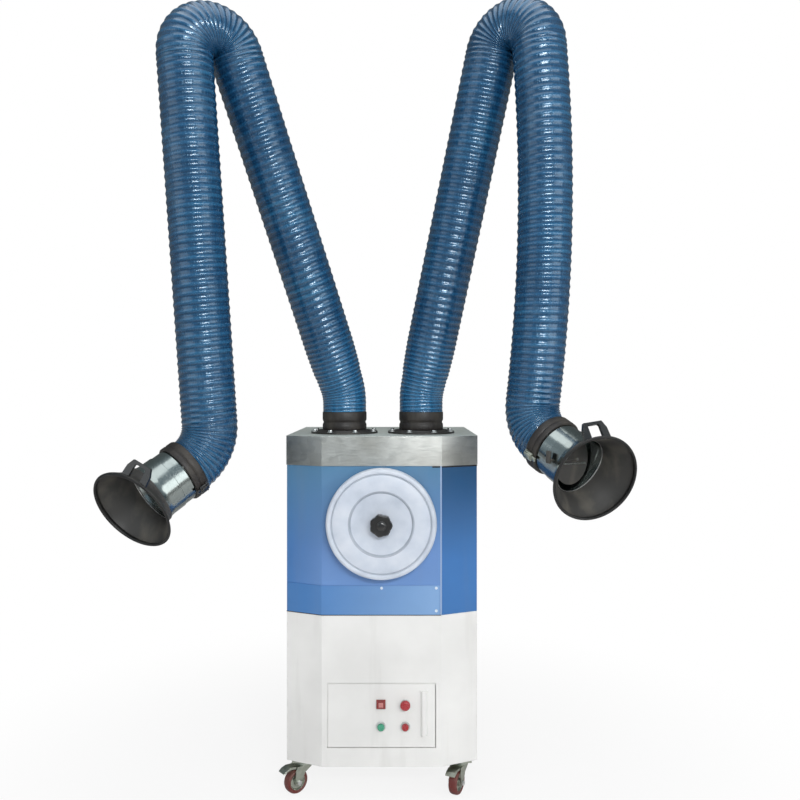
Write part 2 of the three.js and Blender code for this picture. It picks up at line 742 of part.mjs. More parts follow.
// Butterfly plate in the nozzle with its lever outside.
function damper(route, m) {
  const plate = rodZ(76, -1.5, 1.5, 0, 0, 18);
  const shaft = rodY(5, -101, 20, 0, 0, 8);
  const lever = box(-28, 9, -104, -97, -8, 8);
  const turned = join(plate, shaft, lever).rotateY(rad(-24));
  return route.local(m.hoseEnd + DAMPER_AT, turned);
}

function armRoute({ lean, fold, sag, wrist }) {
  const tangent = SHOULDER_R * Math.tan(rad(lean) / 2);
  const wristR = WRIST_AFTER / Math.tan(rad(wrist) / 2);
  return new Route(HOSE_Z0, [
    [SHOULDER_Z - HOSE_Z0 - tangent, 0],
    [SHOULDER_R * rad(lean), rad(lean)],
    [LOWER_LEN - tangent, 0],
    [ELBOW_R * rad(fold), rad(fold)],
    [UPPER_LEN, rad(sag)],
    [WRIST_BEFORE - WRIST_AFTER, 0],
    [wristR * rad(wrist), -rad(wrist)],
    [NOZZLE_LEN, 0],
  ]);
}

function arm(spec) {
  const { name, side } = spec;
  const route = armRoute(spec);
  const start = route.runs.map((run) => run.start);
  const lean = rad(spec.lean);
  const m = {
    lean,
    shoulderPivot: start[1] + (SHOULDER_R * lean) / 2,
    elbowStart: start[3],
    apex: (start[3] + start[4]) / 2,
    elbowEnd: start[4],
    seam: start[5],
    hoseEnd: start[7],
  };
  const shoulderTop = start[2] + 45;

  const group = new THREE.Group();
  group.position.set(side * FLANGE_X, FLANGE_Y, 0);
  group.rotation.z = Math.atan2(-Math.cos(rad(spec.plane)), side * Math.sin(rad(spec.plane)));
  group.add(part(`swivel_flange_${name}`, swivelFlange(), 'black'));
  group.add(part(`hose_cuff_${name}`, hoseCuff(), 'black'));
  group.add(part(`lower_link_${name}`, lowerLink(route, m), 'zinc'));
  group.add(part(`upper_link_${name}`, upperLink(route, m), 'zinc'));
  group.add(part(`hose_shoulder_${name}`, hose(route, 0, shoulderTop, 2), 'hose'));
  group.add(part(`hose_lower_${name}`, hose(route, shoulderTop + GAP, m.elbowStart - 15, 9), 'hose'));
  group.add(part(`hose_elbow_${name}`, hose(route, m.elbowStart - 15 + GAP, m.elbowEnd + 15, 2), 'hose'));
  group.add(part(`hose_upper_${name}`, hose(route, m.elbowEnd + 15 + GAP, m.seam, 9), 'hose'));

  // The wrist turns about the line of the hose at the seam.
  const seam = route.at(m.seam);
  const axis = new THREE.Vector3(Math.sin(seam.heading), 0, Math.cos(seam.heading));
  const wrist = new THREE.Group();
  wrist.position.set(seam.x, 0, seam.z);
  wrist.quaternion.setFromAxisAngle(axis, rad(spec.yaw));
  const pieces = [
    part(`hose_wrist_${name}`, hose(route, m.seam + GAP, m.hoseEnd, 2), 'hose'),
    part(`wrist_yoke_${name}`, wristYoke(route, m), 'zinc'),
    part(`hood_cuff_${name}`, hoodCuff(route, m, side), 'black'),
    part(`nozzle_${name}`, nozzle(route, m), 'steel'),
    part(`hood_${name}`, hood(route, m, spec), 'charcoal'),
    part(`hood_handle_${name}`, hoodHandle(route, m, spec), 'black'),
    part(`damper_${name}`, damper(route, m), 'charcoal'),
  ];
  for (const piece of pieces) {
    piece.position.set(-seam.x, 0, -seam.z);
    wrist.add(piece);
  }
  group.add(wrist);
  const pivots = {
    shoulder: [0, 0, SHOULDER_Z],
    elbow: route.point(m.apex, 0, 0),
    elbowStart: route.point(m.elbowStart, 0, 0),
    elbowEnd: route.point(m.elbowEnd, 0, 0),
    seam: route.point(m.seam, 0, 0),
    wrist: [seam.x + WRIST_BEFORE * axis.x, 0, seam.z + WRIST_BEFORE * axis.z],
    hoseEnd: route.point(m.hoseEnd, 0, 0),
    damper: route.point(m.hoseEnd + DAMPER_AT, 0, 0),
    nozzle: route.point(m.hoseEnd + NOZZLE_LEN, 0, 0),
  };
  const beyond = ['wrist', 'hoseEnd', 'damper', 'nozzle'];
  const headings = { seam: seam.heading, nozzle: route.at(route.length).heading };
  group.userData = { name, pivots, beyond, wrist, headings };
  return group;
}

// Assembly

const root = new THREE.Group();
root.name = 'fume_extractor';
root.add(part('base_pan', basePan(), 'zinc'));
root.add(part('lower_shell', lowerShell(), 'white'));
root.add(part('rear_grille', rearGrille(), 'white'));
root.add(part('upper_shell', upperShell(), 'blue'));
root.add(part('strip_panel', stripPanel(), 'blue'));
root.add(part('top_cap', topCap(), 'steel'));
root.add(part('bulkhead', bulkhead(), 'zinc'));
root.add(part('filter_cartridge', filterCartridge(), 'paper'));
root.add(part('draw_rod', drawRod(), 'zinc'));
root.add(part('filter_cover', filterCover(), 'disc'));
root.add(part('cover_knob', coverKnob(), 'black'));
root.add(part('control_door', controlDoor(), 'white'));
root.add(part('start_button', pushButton(BUTTON_X[0], BUTTON_Z[0]), 'green'));
root.add(part('stop_button', pushButton(BUTTON_X[1], BUTTON_Z[0]), 'red'));
root.add(part('emergency_stop', mushroomHead(BUTTON_X[1], BUTTON_Z[1]), 'red'));
root.add(part('power_lamp', squareLamp(BUTTON_X[0], BUTTON_Z[1]), 'red'));
root.add(part('fan_scroll', fanScroll(), 'zinc'));
root.add(part('impeller', impeller(), 'fan'));
root.add(part('fan_motor', fanMotor(), 'motor'));
root.add(part('cable_gland', cableGland(), 'black'));
for (const [end, y] of [['front', CASTER_Y[0]], ['rear', CASTER_Y[1]]]) {
  for (const [hand, sx] of [['left', -1], ['right', 1]]) {
    root.add(caster(`${end}_${hand}`, sx * CASTER_X, y, end === 'front'));
  }
}
for (const spec of ARMS) {
  root.add(arm(spec));
}

// The origin is on the floor, under the middle of the whole object.
const bounds = new THREE.Box3().setFromObject(root, true);
root.position.set(-(bounds.min.x + bounds.max.x) / 2, -(bounds.min.y + bounds.max.y) / 2, 0);

export default root;
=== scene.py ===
# %% [markdown]
# # A mobile fume extractor with two hose arms
# A sheet-metal cabinet on casters holds a filter and a fan. Two ribbed hoses stand on its top, fold over at
# an elbow and end in a steel nozzle with a flared hood. All of it could be modelled from nothing, but the
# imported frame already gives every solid, body and joint. So this lesson adds only what a photograph shows
# beyond them: folds, fine ribs, fasteners and finishes.

# %% Load the frame
import json
import math

import bmesh
import bpy
from mathutils import Matrix, Vector


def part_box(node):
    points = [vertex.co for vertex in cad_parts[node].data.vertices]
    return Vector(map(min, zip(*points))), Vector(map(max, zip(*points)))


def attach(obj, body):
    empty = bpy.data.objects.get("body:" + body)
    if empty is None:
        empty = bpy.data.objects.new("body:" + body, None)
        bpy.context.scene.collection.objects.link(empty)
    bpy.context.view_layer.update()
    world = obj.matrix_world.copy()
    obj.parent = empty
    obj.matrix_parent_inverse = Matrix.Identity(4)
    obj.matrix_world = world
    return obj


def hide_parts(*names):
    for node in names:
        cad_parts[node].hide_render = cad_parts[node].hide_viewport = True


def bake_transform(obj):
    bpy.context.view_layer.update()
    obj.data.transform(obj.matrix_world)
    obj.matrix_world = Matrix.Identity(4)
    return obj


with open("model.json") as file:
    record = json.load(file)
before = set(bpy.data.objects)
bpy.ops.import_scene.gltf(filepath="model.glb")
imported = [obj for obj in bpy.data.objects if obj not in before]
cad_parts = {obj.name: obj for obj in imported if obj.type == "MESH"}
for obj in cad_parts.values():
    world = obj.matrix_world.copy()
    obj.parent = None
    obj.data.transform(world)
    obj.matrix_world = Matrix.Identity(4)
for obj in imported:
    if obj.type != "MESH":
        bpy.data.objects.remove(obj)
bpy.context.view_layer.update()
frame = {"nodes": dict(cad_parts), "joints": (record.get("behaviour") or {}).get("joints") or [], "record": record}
JOINT = {joint["name"]: joint for joint in frame["joints"]}
HANDS = ("left", "right")
CORNERS = ("front_left", "front_right", "rear_left", "rear_right")
scene = bpy.context.scene

# %% [markdown]
# The cabinet has a frame of its own: x = 0 on its centre line, y = 0 on its front sheet and z = 0 on the
# floor. Places could be typed as world coordinates, but a size on the cabinet can be checked with a ruler,
# so the white lower shell is asked where that frame lies. A piece that is made lying down is stood up by
# `facing`, with its top towards the front or the rear.

# %% The cabinet's own frame
shell_low, shell_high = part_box("lower_shell")
MIDDLE_X = (shell_low.x + shell_high.x) / 2
FRONT_Y = shell_low.y
TO_FRONT = Matrix.Rotation(math.radians(90), 4, "X")
TO_REAR = Matrix.Rotation(math.radians(-90), 4, "X")


def on_cabinet(x, y, z):
    return Vector((MIDDLE_X + x, FRONT_Y + y, z))


def facing(turn, x, y, z):
    return Matrix.Translation(on_cabinet(x, y, z)) @ turn


print("cabinet centre line", round(MIDDLE_X, 4), "front sheet", round(FRONT_Y, 4))

# %% [markdown]
# ## Camera, light and floor
# The photograph was taken level, from about chest height, with an ordinary lens. A camera could be tilted
# to centre the object, but then its uprights would lean. A small vertical shift of the lens moves the
# picture instead, so uprights stay upright.

# %% Camera
PICTURE_PIXELS = 800
FOCAL_PIXELS = 793
HORIZON_ABOVE_MIDDLE = 14
SENSOR_MM = 36
EYE = on_cabinet(0.060, -2.580, 1.351)

camera = bpy.data.objects.new("photo_camera", bpy.data.cameras.new("photo_camera"))
camera.data.sensor_width = SENSOR_MM
camera.data.lens = SENSOR_MM * FOCAL_PIXELS / PICTURE_PIXELS
camera.data.shift_y = -HORIZON_ABOVE_MIDDLE / PICTURE_PIXELS
camera.location = EYE
camera.rotation_euler = (math.radians(90), 0, 0)
scene.collection.objects.link(camera)
scene.camera = camera
scene.view_settings.view_transform = "Standard"
print("lens", round(camera.data.lens, 2), "mm")

# %% [markdown]
# The room, the floor and every finish are node trees. A tree could be wired one link at a time, but short
# helpers let it read like a recipe. A colour is written as a code or as a grey value. `feed` gives a socket
# a value or a link, `dress` feeds several by name, and `added` puts a node into the tree that a given node
# or socket belongs to.

# %% Colours and sockets


def tint(code, gain=1.0):
    channels = [int(code[i : i + 2], 16) / 255 for i in (1, 3, 5)]
    linear = [c / 12.92 if c <= 0.04045 else ((c + 0.055) / 1.055) ** 2.4 for c in channels]
    return (*[min(1.0, c * gain) for c in linear], 1.0)


def grey(value):
    return (value, value, value, 1)


def colour_of(value):
    if isinstance(value, str):
        return tint(value)
    return grey(value) if isinstance(value, (int, float)) else value


def feed(socket, value):
    if isinstance(value, (int, float, tuple)):
        socket.default_value = value
    else:
        socket.id_data.links.new(value, socket)


def dress(node, values):
    for name, value in values.items():
        feed(node.inputs[name], value)


def added(beside, kind, *values, **named):
    node = beside.id_data.nodes.new(f"ShaderNode{kind}")
    for socket, value in zip(node.inputs, values):
        feed(socket, value)
    dress(node, named)
    return node


print("code #808080 is", round(tint("#808080")[0], 3), "in linear light")

# %% [markdown]
# The same few nodes come back in every finish: a noise, a stretch, a ramp of tones, a mix of two colours.
# They could be copied from tree to tree, but a helper for each keeps one line of a recipe on one line of
# code. It adds the node and returns its output, ready for the next line. Blender's noise rarely leaves the
# middle of its range, so `ranged` spreads that middle over the values that are wanted.

# %% Node recipes
NOISE_LOW, NOISE_HIGH = 0.3, 0.7


def worked_out(operation, *values, kind="Math"):
    node = added(values[0], kind, *values)
    node.operation = operation
    return node.outputs["Value"]


def mapped(value, low, high, start=0.0, end=1.0, ease="LINEAR"):
    node = added(value, "MapRange", value, low, high, start, end)
    node.interpolation_type = ease
    return node.outputs["Result"]


def ranged(factor, low, high):
    return mapped(factor, NOISE_LOW, NOISE_HIGH, low, high)


def axis_of(coords, axis):
    return added(coords, "SeparateXYZ", coords).outputs[axis]


def stretched(coords, scale):
    return added(coords, "Mapping", coords, Scale=scale).outputs["Vector"]


def noise(coords, scale, detail):
    return added(coords, "TexNoise", coords, Scale=scale, Detail=detail).outputs["Fac"]


def tones(factor, *stops):
    node = added(factor, "ValToRGB", factor)
    ramp = node.color_ramp.elements
    stops = [(position, colour_of(shade)) for position, shade in stops]
    ramp[0].position, ramp[0].color = stops[0]
    ramp[1].position, ramp[1].color = stops[-1]
    for position, shade in stops[1:-1]:
        ramp.new(position).color = shade
    return node.outputs["Color"]


def mixed(factor, one, other):
    node = added(factor, "Mix")
    node.data_type = "RGBA"
    for index, value in ((0, factor), (6, colour_of(one)), (7, colour_of(other))):
        feed(node.inputs[index], value)
    return node.outputs[2]


def mixed_shader(factor, one, other):
    return added(factor, "MixShader", factor, one, other).outputs[0]


def start_finish(name):
    material = bpy.data.materials.new(name)
    material.use_nodes = True
    shader = material.node_tree.nodes["Principled BSDF"]
    print("finish", name)
    return material, shader, added(shader, "TexCoord").outputs["Object"]


print("noise is spread from", NOISE_LOW, "to", NOISE_HIGH)

# %% [markdown]
# Four soft lamps stand for a workshop with a flash near the camera: the front lamp is a low wide strip and
# puts short glints on the ribs, two wide ones fill from the sides, and one hangs above. A photograph of a
# room could light the scene as well, but lamps can be balanced one by one.

# %% Lamps
LOOK_AT = on_cabinet(0, 0.1, 1.25)
LAMPS = {
    "front_lamp": (on_cabinet(0.75, -3.3, 2.35), (1.4, 0.2), 56),
    "left_lamp": (on_cabinet(-3.0, -2.2, 2.3), (2.4, 2.4), 18),
    "right_lamp": (on_cabinet(3.0, -2.4, 1.9), (2.2, 2.2), 36),
    "top_lamp": (on_cabinet(0, -0.6, 4.4), (3.0, 3.0), 42),
}


def add_lamp(name, place, spread, watts):
    lamp = bpy.data.objects.new(name, bpy.data.lights.new(name, "AREA"))
    lamp.data.shape = "RECTANGLE"
    lamp.data.size, lamp.data.size_y = spread
    lamp.data.energy = watts
    lamp.location = place
    lamp.rotation_euler = (LOOK_AT - place).to_track_quat("-Z", "Y").to_euler()
    scene.collection.objects.link(lamp)


for lamp_name, lamp_plan in LAMPS.items():
    add_lamp(lamp_name, *lamp_plan)
print("lamps", len(LAMPS))

# %% [markdown]
# The camera sees a plain white backdrop. If every ray met that white, the object would be lit flat and bare
# metal would have nothing to mirror. So the Light Path node tells the rays apart: those from shiny surfaces
# meet a dimmer room, and all others a weak even light.

# %% Room
ROOM_LIGHT = 0.30
ROOM_TONES = [
    (0.0, (0.26, 0.34, 0.40, 1)), (0.40, (0.40, 0.47, 0.52, 1)), (0.62, (0.17, 0.20, 0.21, 1)),
    (1.0, (0.10, 0.11, 0.11, 1)),
]
world = bpy.data.worlds.new("room")
scene.world = world
world.use_nodes = True
room_end = world.node_tree.nodes["World Output"]
direction = added(room_end, "TexCoord").outputs["Generated"]
rays = added(room_end, "LightPath").outputs


def backdrop(colour, strength):
    return added(room_end, "Background", Color=colour, Strength=strength).outputs[0]


mirrored = backdrop(tones(mapped(axis_of(direction, "Y"), -1, 1), *ROOM_TONES), 1)
around = mixed_shader(rays["Is Glossy Ray"], backdrop(grey(1), ROOM_LIGHT), mirrored)
around = mixed_shader(rays["Is Camera Ray"], around, backdrop(grey(1), 1))
feed(room_end.inputs["Surface"], around)
print("room light", ROOM_LIGHT)

# %% [markdown]
# The floor takes the shadows near the cabinet and fades to the white of the backdrop further out. A plain
# pale plane would end in a visible line, so its paint turns into a white glow with distance. The glow is
# seen by the camera only: for every other ray the floor is plain pale paint.

# %% Pale floor
FLOOR_HALF = 40.0
FLOOR_TONE = 0.86
FLOOR_GLOW = 0.86
FADE_FROM, FADE_TO = 0.5, 1.9

floor_mesh = bmesh.new()
bmesh.ops.create_grid(floor_mesh, x_segments=1, y_segments=1, size=FLOOR_HALF)
floor_data = bpy.data.meshes.new("floor")
floor_mesh.to_mesh(floor_data)
floor_mesh.free()
floor = bpy.data.objects.new("floor", floor_data)
scene.collection.objects.link(floor)

floor_finish, paint, floor_place = start_finish("pale_floor")
dress(paint, {"Base Color": grey(FLOOR_TONE), "Roughness": 0.9})
glow = added(paint, "Emission").outputs[0]
reach = worked_out("LENGTH", floor_place, kind="VectorMath")
fade = mapped(reach, FADE_FROM, FADE_TO, FLOOR_GLOW, 1.0, "SMOOTHSTEP")
share = worked_out("MULTIPLY", fade, added(paint, "LightPath").outputs["Is Camera Ray"])
surface = mixed_shader(share, paint.outputs[0], glow)
feed(floor_finish.node_tree.nodes["Material Output"].inputs["Surface"], surface)
floor.data.materials.append(floor_finish)

# %% [markdown]
# ## Finishes
# Powder coat is a satin paint with a faint orange peel, and on a used cabinet it is cloudy and a little
# dusty. A picture of paint could be wrapped round it, but a node tree on Object coordinates keeps its true
# size on every piece. The clouds come from a wide noise, the dust from a streaky one and the peel from a
# fine relief. A fade along one axis is painted light and shade: it makes a panel paler or deeper towards an
# edge, where the light falls unevenly on it.

# %% Painted sheet
SATIN_COAT = {"Coat Weight": 0.12, "Coat Roughness": 0.25}
PEEL_SCALE, PEEL_STRENGTH, PEEL_DEPTH = 520, 0.05, 0.0004


def relief(shader, *layers):
    below = {}
    for height, strength, distance in layers:
        bump = added(shader, "Bump", Height=height, Strength=strength, Distance=distance, **below)
        below = {"Normal": bump.outputs["Normal"]}
    dress(shader, below)


def peel(coords):
    return noise(coords, PEEL_SCALE, 1), PEEL_STRENGTH, PEEL_DEPTH


def powder_coat(name, code, rough, dirt, *painted_light_fades):
    material, shader, coords = start_finish(name)
    clouds = noise(coords, 3.1, 5)
    base = tones(clouds, (0.32, tint(code, 0.9)), (0.55, code), (0.75, tint(code, 1.08)))
    # Each fade is painted light and shade: the panel grows paler or deeper along one axis.
    for axis, low, high, painted_light_code in painted_light_fades:
        far = tones(clouds, (0.32, tint(painted_light_code, 0.92)), (0.75, tint(painted_light_code, 1.06)))
        base = mixed(mapped(axis_of(coords, axis), low, high), base, far)
    streaks = noise(stretched(coords, (9, 9, 1.1)), 2.2, 6)
    dust = tones(streaks, (0.56, 0), (0.78, dirt))
    scuffs = noise(coords, 26, 4)
    dress(shader, {
        "Base Color": mixed(dust, base, "#8d8a80"),
        "Roughness": ranged(scuffs, rough - 0.06, rough + 0.09),
        **SATIN_COAT,
    })
    relief(shader, peel(coords), (clouds, 0.03, 0.004))
    return material


# The fades of the blue coats are painted light and shade: paler at the front and to the right, deeper higher up.
BLUE_COAT = powder_coat(
    "blue_powder_coat", "#4b80c0", 0.36, 0.10,
    ("X", MIDDLE_X - 0.30, MIDDLE_X - 0.18, "#6b93cc"), ("Z", 0.82, 1.08, "#5584a9"),
)
STRIP_COAT = powder_coat(
    "strip_powder_coat", "#467dbb", 0.36, 0.08, ("X", MIDDLE_X - 0.25, MIDDLE_X + 0.17, "#81a8d6")
)
# A deeper blue that is painted shade, for the right-hand side of the blue wrap.
SHADED_BLUE_COAT = powder_coat("shaded_blue_powder_coat", "#3672b3", 0.40, 0.06, ("Z", 0.78, 1.07, "#1e507c"))
PALE_ZINC = powder_coat("pale_screw_zinc", "#e2ebf3", 0.34, 0.04)
# A paler blue that is painted highlight, for the lit edge of the front fold.
LIT_FOLD_COAT = powder_coat("lit_fold_coat", "#9db4d6", 0.40, 0.06)
WHITE_COAT = powder_coat("white_powder_coat", "#eeeeec", 0.42, 0.14)
DULL_ZINC = powder_coat("dull_cap_zinc", "#ccd5d0", 0.5, 0.2)
MOTOR_COAT = powder_coat("motor_paint", "#5d676e", 0.5, 0.2)
BLACK_COAT = powder_coat("black_flange_coat", "#2c2a28", 0.5, 0.18)

# %% [markdown]
# The pale cover has the same paint, with painted shade in its two creases. The shade could be painted on by
# hand, but it has to be round: it follows the distance from the middle of the cover, which gives a soft dark
# line at the sunk centre and a finer one inside the rim.

# %% Painted cover
COVER_Z = 0.908
STEP_RING, STEP_SHADE_WIDTH = 0.1025, 0.0042
RIM_RING, RIM_SHADE_WIDTH = 0.1597, 0.0026

PALE_COAT, shader, coords = start_finish("pale_cover_coat")
clouds = noise(coords, 14, 6)
base = tones(clouds, (0.3, "#bcc6d4"), (0.5, "#cbd4e1"), (0.7, "#d6dde8"))
flat = stretched(coords, (1, 0, 1))
away = worked_out("DISTANCE", flat, (MIDDLE_X, 0, COVER_Z), kind="VectorMath")
# Painted shade: a patchy dark ring in each of the two creases of the cover.
for ring, width, darkest in ((STEP_RING, STEP_SHADE_WIDTH, 0.62), (RIM_RING, RIM_SHADE_WIDTH, 0.5)):
    shade_ring = worked_out("COMPARE", away, ring, width)
    patchy = tones(noise(coords, 11, 3), (0.3, 0.35), (0.6, darkest))
    base = mixed(mixed(shade_ring, 0, patchy), base, "#7d8795")
dress(shader, {
    "Base Color": base,
    "Roughness": ranged(noise(coords, 26, 4), 0.34, 0.5),
    **SATIN_COAT,
})
relief(shader, peel(coords), (clouds, 0.05, 0.004))

# %% [markdown]
# Bare metal comes in several kinds here: the cap of dull zinc-coated sheet, with a painted reflection at the
# right of its front, the bright rolled nozzles, the plated brackets of the casters, bolts, and cast alloy
# inside. Each could have a tree of its own, but they differ only in tone, gloss, spangle, stains and that
# painted reflection, so one recipe makes them all. Spangle is a cell pattern, and rolling marks are a
# stretched noise.

# %% Bare metals
REFLECTION_FROM, REFLECTION_TO = MIDDLE_X - 0.02, MIDDLE_X + 0.26


def bare_metal(name, code, rough, spangle_scale, spangle, grain, warm, reflection_code=None):
    material, shader, coords = start_finish(name)
    cells = added(coords, "TexVoronoi", coords, Scale=spangle_scale).outputs["Color"]
    shade = added(cells, "RGBToBW", cells).outputs["Val"]
    base = tones(shade, (0.2, tint(code, 1 - spangle)), (0.8, tint(code, 1 + spangle)))
    # A painted reflection: a brighter band across the right of the cap's front.
    if reflection_code:
        across = mapped(axis_of(coords, "X"), REFLECTION_FROM, REFLECTION_TO)
        painted_reflection = tones(across, (0.0, 0), (0.5, 1), (0.72, 1), (1.0, 0))
        base = mixed(painted_reflection, base, reflection_code)
    stains = noise(coords, 5.5, 5)
    stain = tones(stains, (0.5, 0), (0.72, warm))
    marks = noise(stretched(coords, grain), 30, 4)
    dress(shader, {
        "Base Color": mixed(stain, base, "#7d7564"),
        "Metallic": 1.0,
        "Roughness": ranged(marks, rough - 0.07, rough + 0.12),
    })
    relief(shader, (marks, 0.06, 0.0006), (stains, 0.05, 0.006))
    return material


# The cap gets the painted reflection at the right of its front.
CAP_STEEL = bare_metal("cap_zinc_sheet", "#bec0bc", 0.36, 46, 0.06, (1, 1, 14), 0.3, "#e6e6e0")
NOZZLE_STEEL = bare_metal("bright_nozzle_sheet", "#9aa2a0", 0.16, 60, 0.03, (18, 18, 2), 0.12)
ZINC = bare_metal("zinc_plated_bracket", "#b3b7ab", 0.34, 90, 0.08, (6, 6, 6), 0.4)
BOLT_STEEL = bare_metal("bright_bolt", "#d9dad8", 0.28, 200, 0.05, (20, 20, 20), 0.15)
FAN_ALLOY = bare_metal("cast_fan_alloy", "#a4abad", 0.42, 120, 0.06, (8, 8, 8), 0.3)

# %% [markdown]
# The hoods, knobs and cuffs are moulded black parts, and the wheel treads are moulded too. One flat dark
# colour would look like a hole in the picture. So all get a fine grain and smeared dust, and a glossy one
# gets a thin clear coat on top.

# %% Moulded parts


def moulded(name, code, rough, dusty, grain_scale, glint=0.0):
    material, shader, coords = start_finish(name)
    smear = noise(stretched(coords, (3, 3, 1.4)), 6, 6)
    base = tones(noise(coords, 9, 4), (0.3, tint(code, 0.78)), (0.7, tint(code, 1.15)))
    dust = tones(smear, (0.48, 0), (0.75, dusty))
    dress(shader, {
        "Base Color": mixed(dust, base, "#8b8577"),
        "Roughness": ranged(smear, rough - 0.08, rough + 0.12),
        "Coat Weight": glint,
        "Coat Roughness": 0.2,
    })
    relief(shader, (noise(coords, grain_scale, 2), 0.12, 0.0005), (smear, 0.04, 0.003))
    return material


CUFF_RUBBER = moulded("cuff_rubber", "#2a2624", 0.5, 0.16, 420)
HOOD_PLASTIC = moulded("hood_plastic", "#3b3a38", 0.5, 0.28, 650)
RIM_RUBBER = moulded("rim_edging", "#0f0f0f", 0.5, 0.05, 500)
KNOB_PLASTIC = moulded("knob_plastic", "#141414", 0.28, 0.08, 700, 0.6)
TREAD = moulded("wheel_tread", "#6a2a25", 0.45, 0.35, 300, 0.1)

# %% [markdown]
# Buttons are glossy coloured plastic. The paint from above would look too hard: a little light enters such
# plastic, so it gets some subsurface scattering, and finger marks vary its gloss.

# %% Coloured plastic


def button_plastic(name, code):
    material, shader, coords = start_finish(name)
    clouds = noise(coords, 60, 3)
    dress(shader, {
        "Base Color": tones(clouds, (0.35, tint(code, 0.86)), (0.7, tint(code, 1.1))),
        "Roughness": ranged(noise(coords, 210, 4), 0.2, 0.36),
        "Subsurface Weight": 0.12,
        "Subsurface Radius": (0.004, 0.002, 0.002),
        "Coat Weight": 0.3,
    })
    relief(shader, (noise(coords, 900, 1), 0.05, 0.0003))
    return material


RED_PLASTIC = button_plastic("red_button_plastic", "#ab2f35")
GREEN_PLASTIC = button_plastic("green_button_plastic", "#45a482")
PINK_PLASTIC = button_plastic("lamp_window_plastic", "#c4807c")

# %% [markdown]
# The lamp is a square block with a ribbed lens. The ribs are too fine to be worth modelling, so one wave
# drives both their relief and their change of tone, and the two can't drift apart.

# %% Lamp lens
LAMP_LENS, shader, coords = start_finish("red_lamp_lens")
ribs = added(coords, "TexWave", coords, Scale=110, Distortion=0.2).outputs["Fac"]
dress(shader, {
    "Base Color": tones(ribs, (0.2, "#6e1c1c"), (0.8, "#98302c")),
    "Roughness": ranged(noise(coords, 150, 3), 0.12, 0.24),
    "Coat Weight": 0.5,
})
relief(shader, (ribs, 0.3, 0.0006))

# %% [markdown]
# The cartridge behind the cover is pleated paper, seen when the cover is off. A plain matt tone would do
# from far off, but soot in patches shows that it is a filter. Its fibres run along the pleats, so their
# noise is stretched.

# %% Filter paper
FILTER_PAPER, shader, coords = start_finish("filter_paper")
fibres = noise(stretched(coords, (40, 4, 40)), 8, 5)
soot = ranged(noise(coords, 7, 4), 0.0, 0.45)
base = tones(fibres, (0.3, "#bfb69d"), (0.7, "#ded7c4"))
dress(shader, {"Base Color": mixed(soot, base, "#6d675c"), "Roughness": 0.9})
relief(shader, (fibres, 0.25, 0.001))

# %% [markdown]
# The hose is coated cloth over a wire coil. The coating is shiny, mirrors the light with a bluish cast and
# gathers small pleats, and its valleys get painted shade. Object coordinates can't follow a bent tube, so the
# hose has a UV map of its own: u runs once round the hose and v counts the turns of the wire. Then `v - u`
# is the place across a rib, everywhere on the spiral. The first turns above the cabinet are paler.

# %% Hose cloth
HOSE_UV = "hose_uv"
PALE_TURNS = (5, 20)

HOSE_CLOTH, shader, coords = start_finish("coated_hose_cloth")
uv_map = added(shader, "UVMap")
uv_map.uv_map = HOSE_UV
uv = uv_map.outputs["UV"]
turns = axis_of(uv, "Y")
valley = worked_out("PINGPONG", worked_out("SUBTRACT", turns, axis_of(uv, "X")), 0.5)
clouds = noise(coords, 7, 5)
base = tones(clouds, (0.28, "#104064"), (0.5, "#194f77"), (0.74, "#276288"))
base = mixed(mapped(turns, *PALE_TURNS), "#347aaa", base)
# Painted shade in the valleys between the turns of wire, lighter again at the middle of each valley.
valley_shade = tones(valley, (0.08, 0), (0.30, 0.9), (0.5, 0.45))
base = mixed(valley_shade, base, "#0a2d4d")
dust = tones(noise(coords, 19, 6), (0.52, 0), (0.8, 0.2))
pleats = noise(stretched(uv, (46, 0.9, 1)), 1.6, 4)
dress(shader, {
    "Base Color": mixed(dust, base, "#6f93ac"),
    "Roughness": ranged(pleats, 0.2, 0.34),
    "Specular IOR Level": 0.85,
    "Specular Tint": (0.46, 0.76, 1.0, 1),
    "Coat Weight": 0.6,
    "Coat Roughness": 0.14,
})
creases = noise(coords, 55, 4)
weave = noise(stretched(uv, (380, 22, 1)), 1.0, 1)
relief(shader, (pleats, 0.45, 0.0035), (creases, 0.14, 0.003), (weave, 0.1, 0.0004))
print("finishes", len(bpy.data.materials))

# %% [markdown]
# ## Tools for the pieces
# Every new piece starts as a bmesh. Most pieces are round, and those could be built ring by ring, but a
# spin makes them from one line. `turned` spins a profile that is drawn in millimetres from its axis and
# foot, like a turner's sketch. `add_block` and `add_rod` put rounded blocks and rods into a mesh.

# %% Shapes
SPIN_MERGE = 1e-6
MM = 0.001


def turned(profile, steps, closed=True, lift=0.0):
    shape = bmesh.new()
    line = [shape.verts.new((radius * MM, 0, height * MM + lift)) for radius, height in profile]
    ends = zip(line, line[1:] + line[:1]) if closed else zip(line, line[1:])
    for first, second in ends:
        shape.edges.new((first, second))
    spun = shape.verts[:] + shape.edges[:]
    bmesh.ops.spin(
        shape, geom=spun, cent=(0, 0, 0), axis=(0, 0, 1), angle=2 * math.pi, steps=steps, use_merge=True
    )
    bmesh.ops.remove_doubles(shape, verts=shape.verts, dist=SPIN_MERGE)
    bmesh.ops.recalc_face_normals(shape, faces=shape.faces)
    return shape


def moved(shape, place):
    bmesh.ops.transform(shape, matrix=place, verts=shape.verts)
    return shape


def soften(shape, verts, offset):
    edges = list({edge for vert in verts for edge in vert.link_edges})
    bmesh.ops.bevel(
        shape, geom=edges, offset=offset, segments=2, profile=0.5, affect="EDGES", material=-1
    )


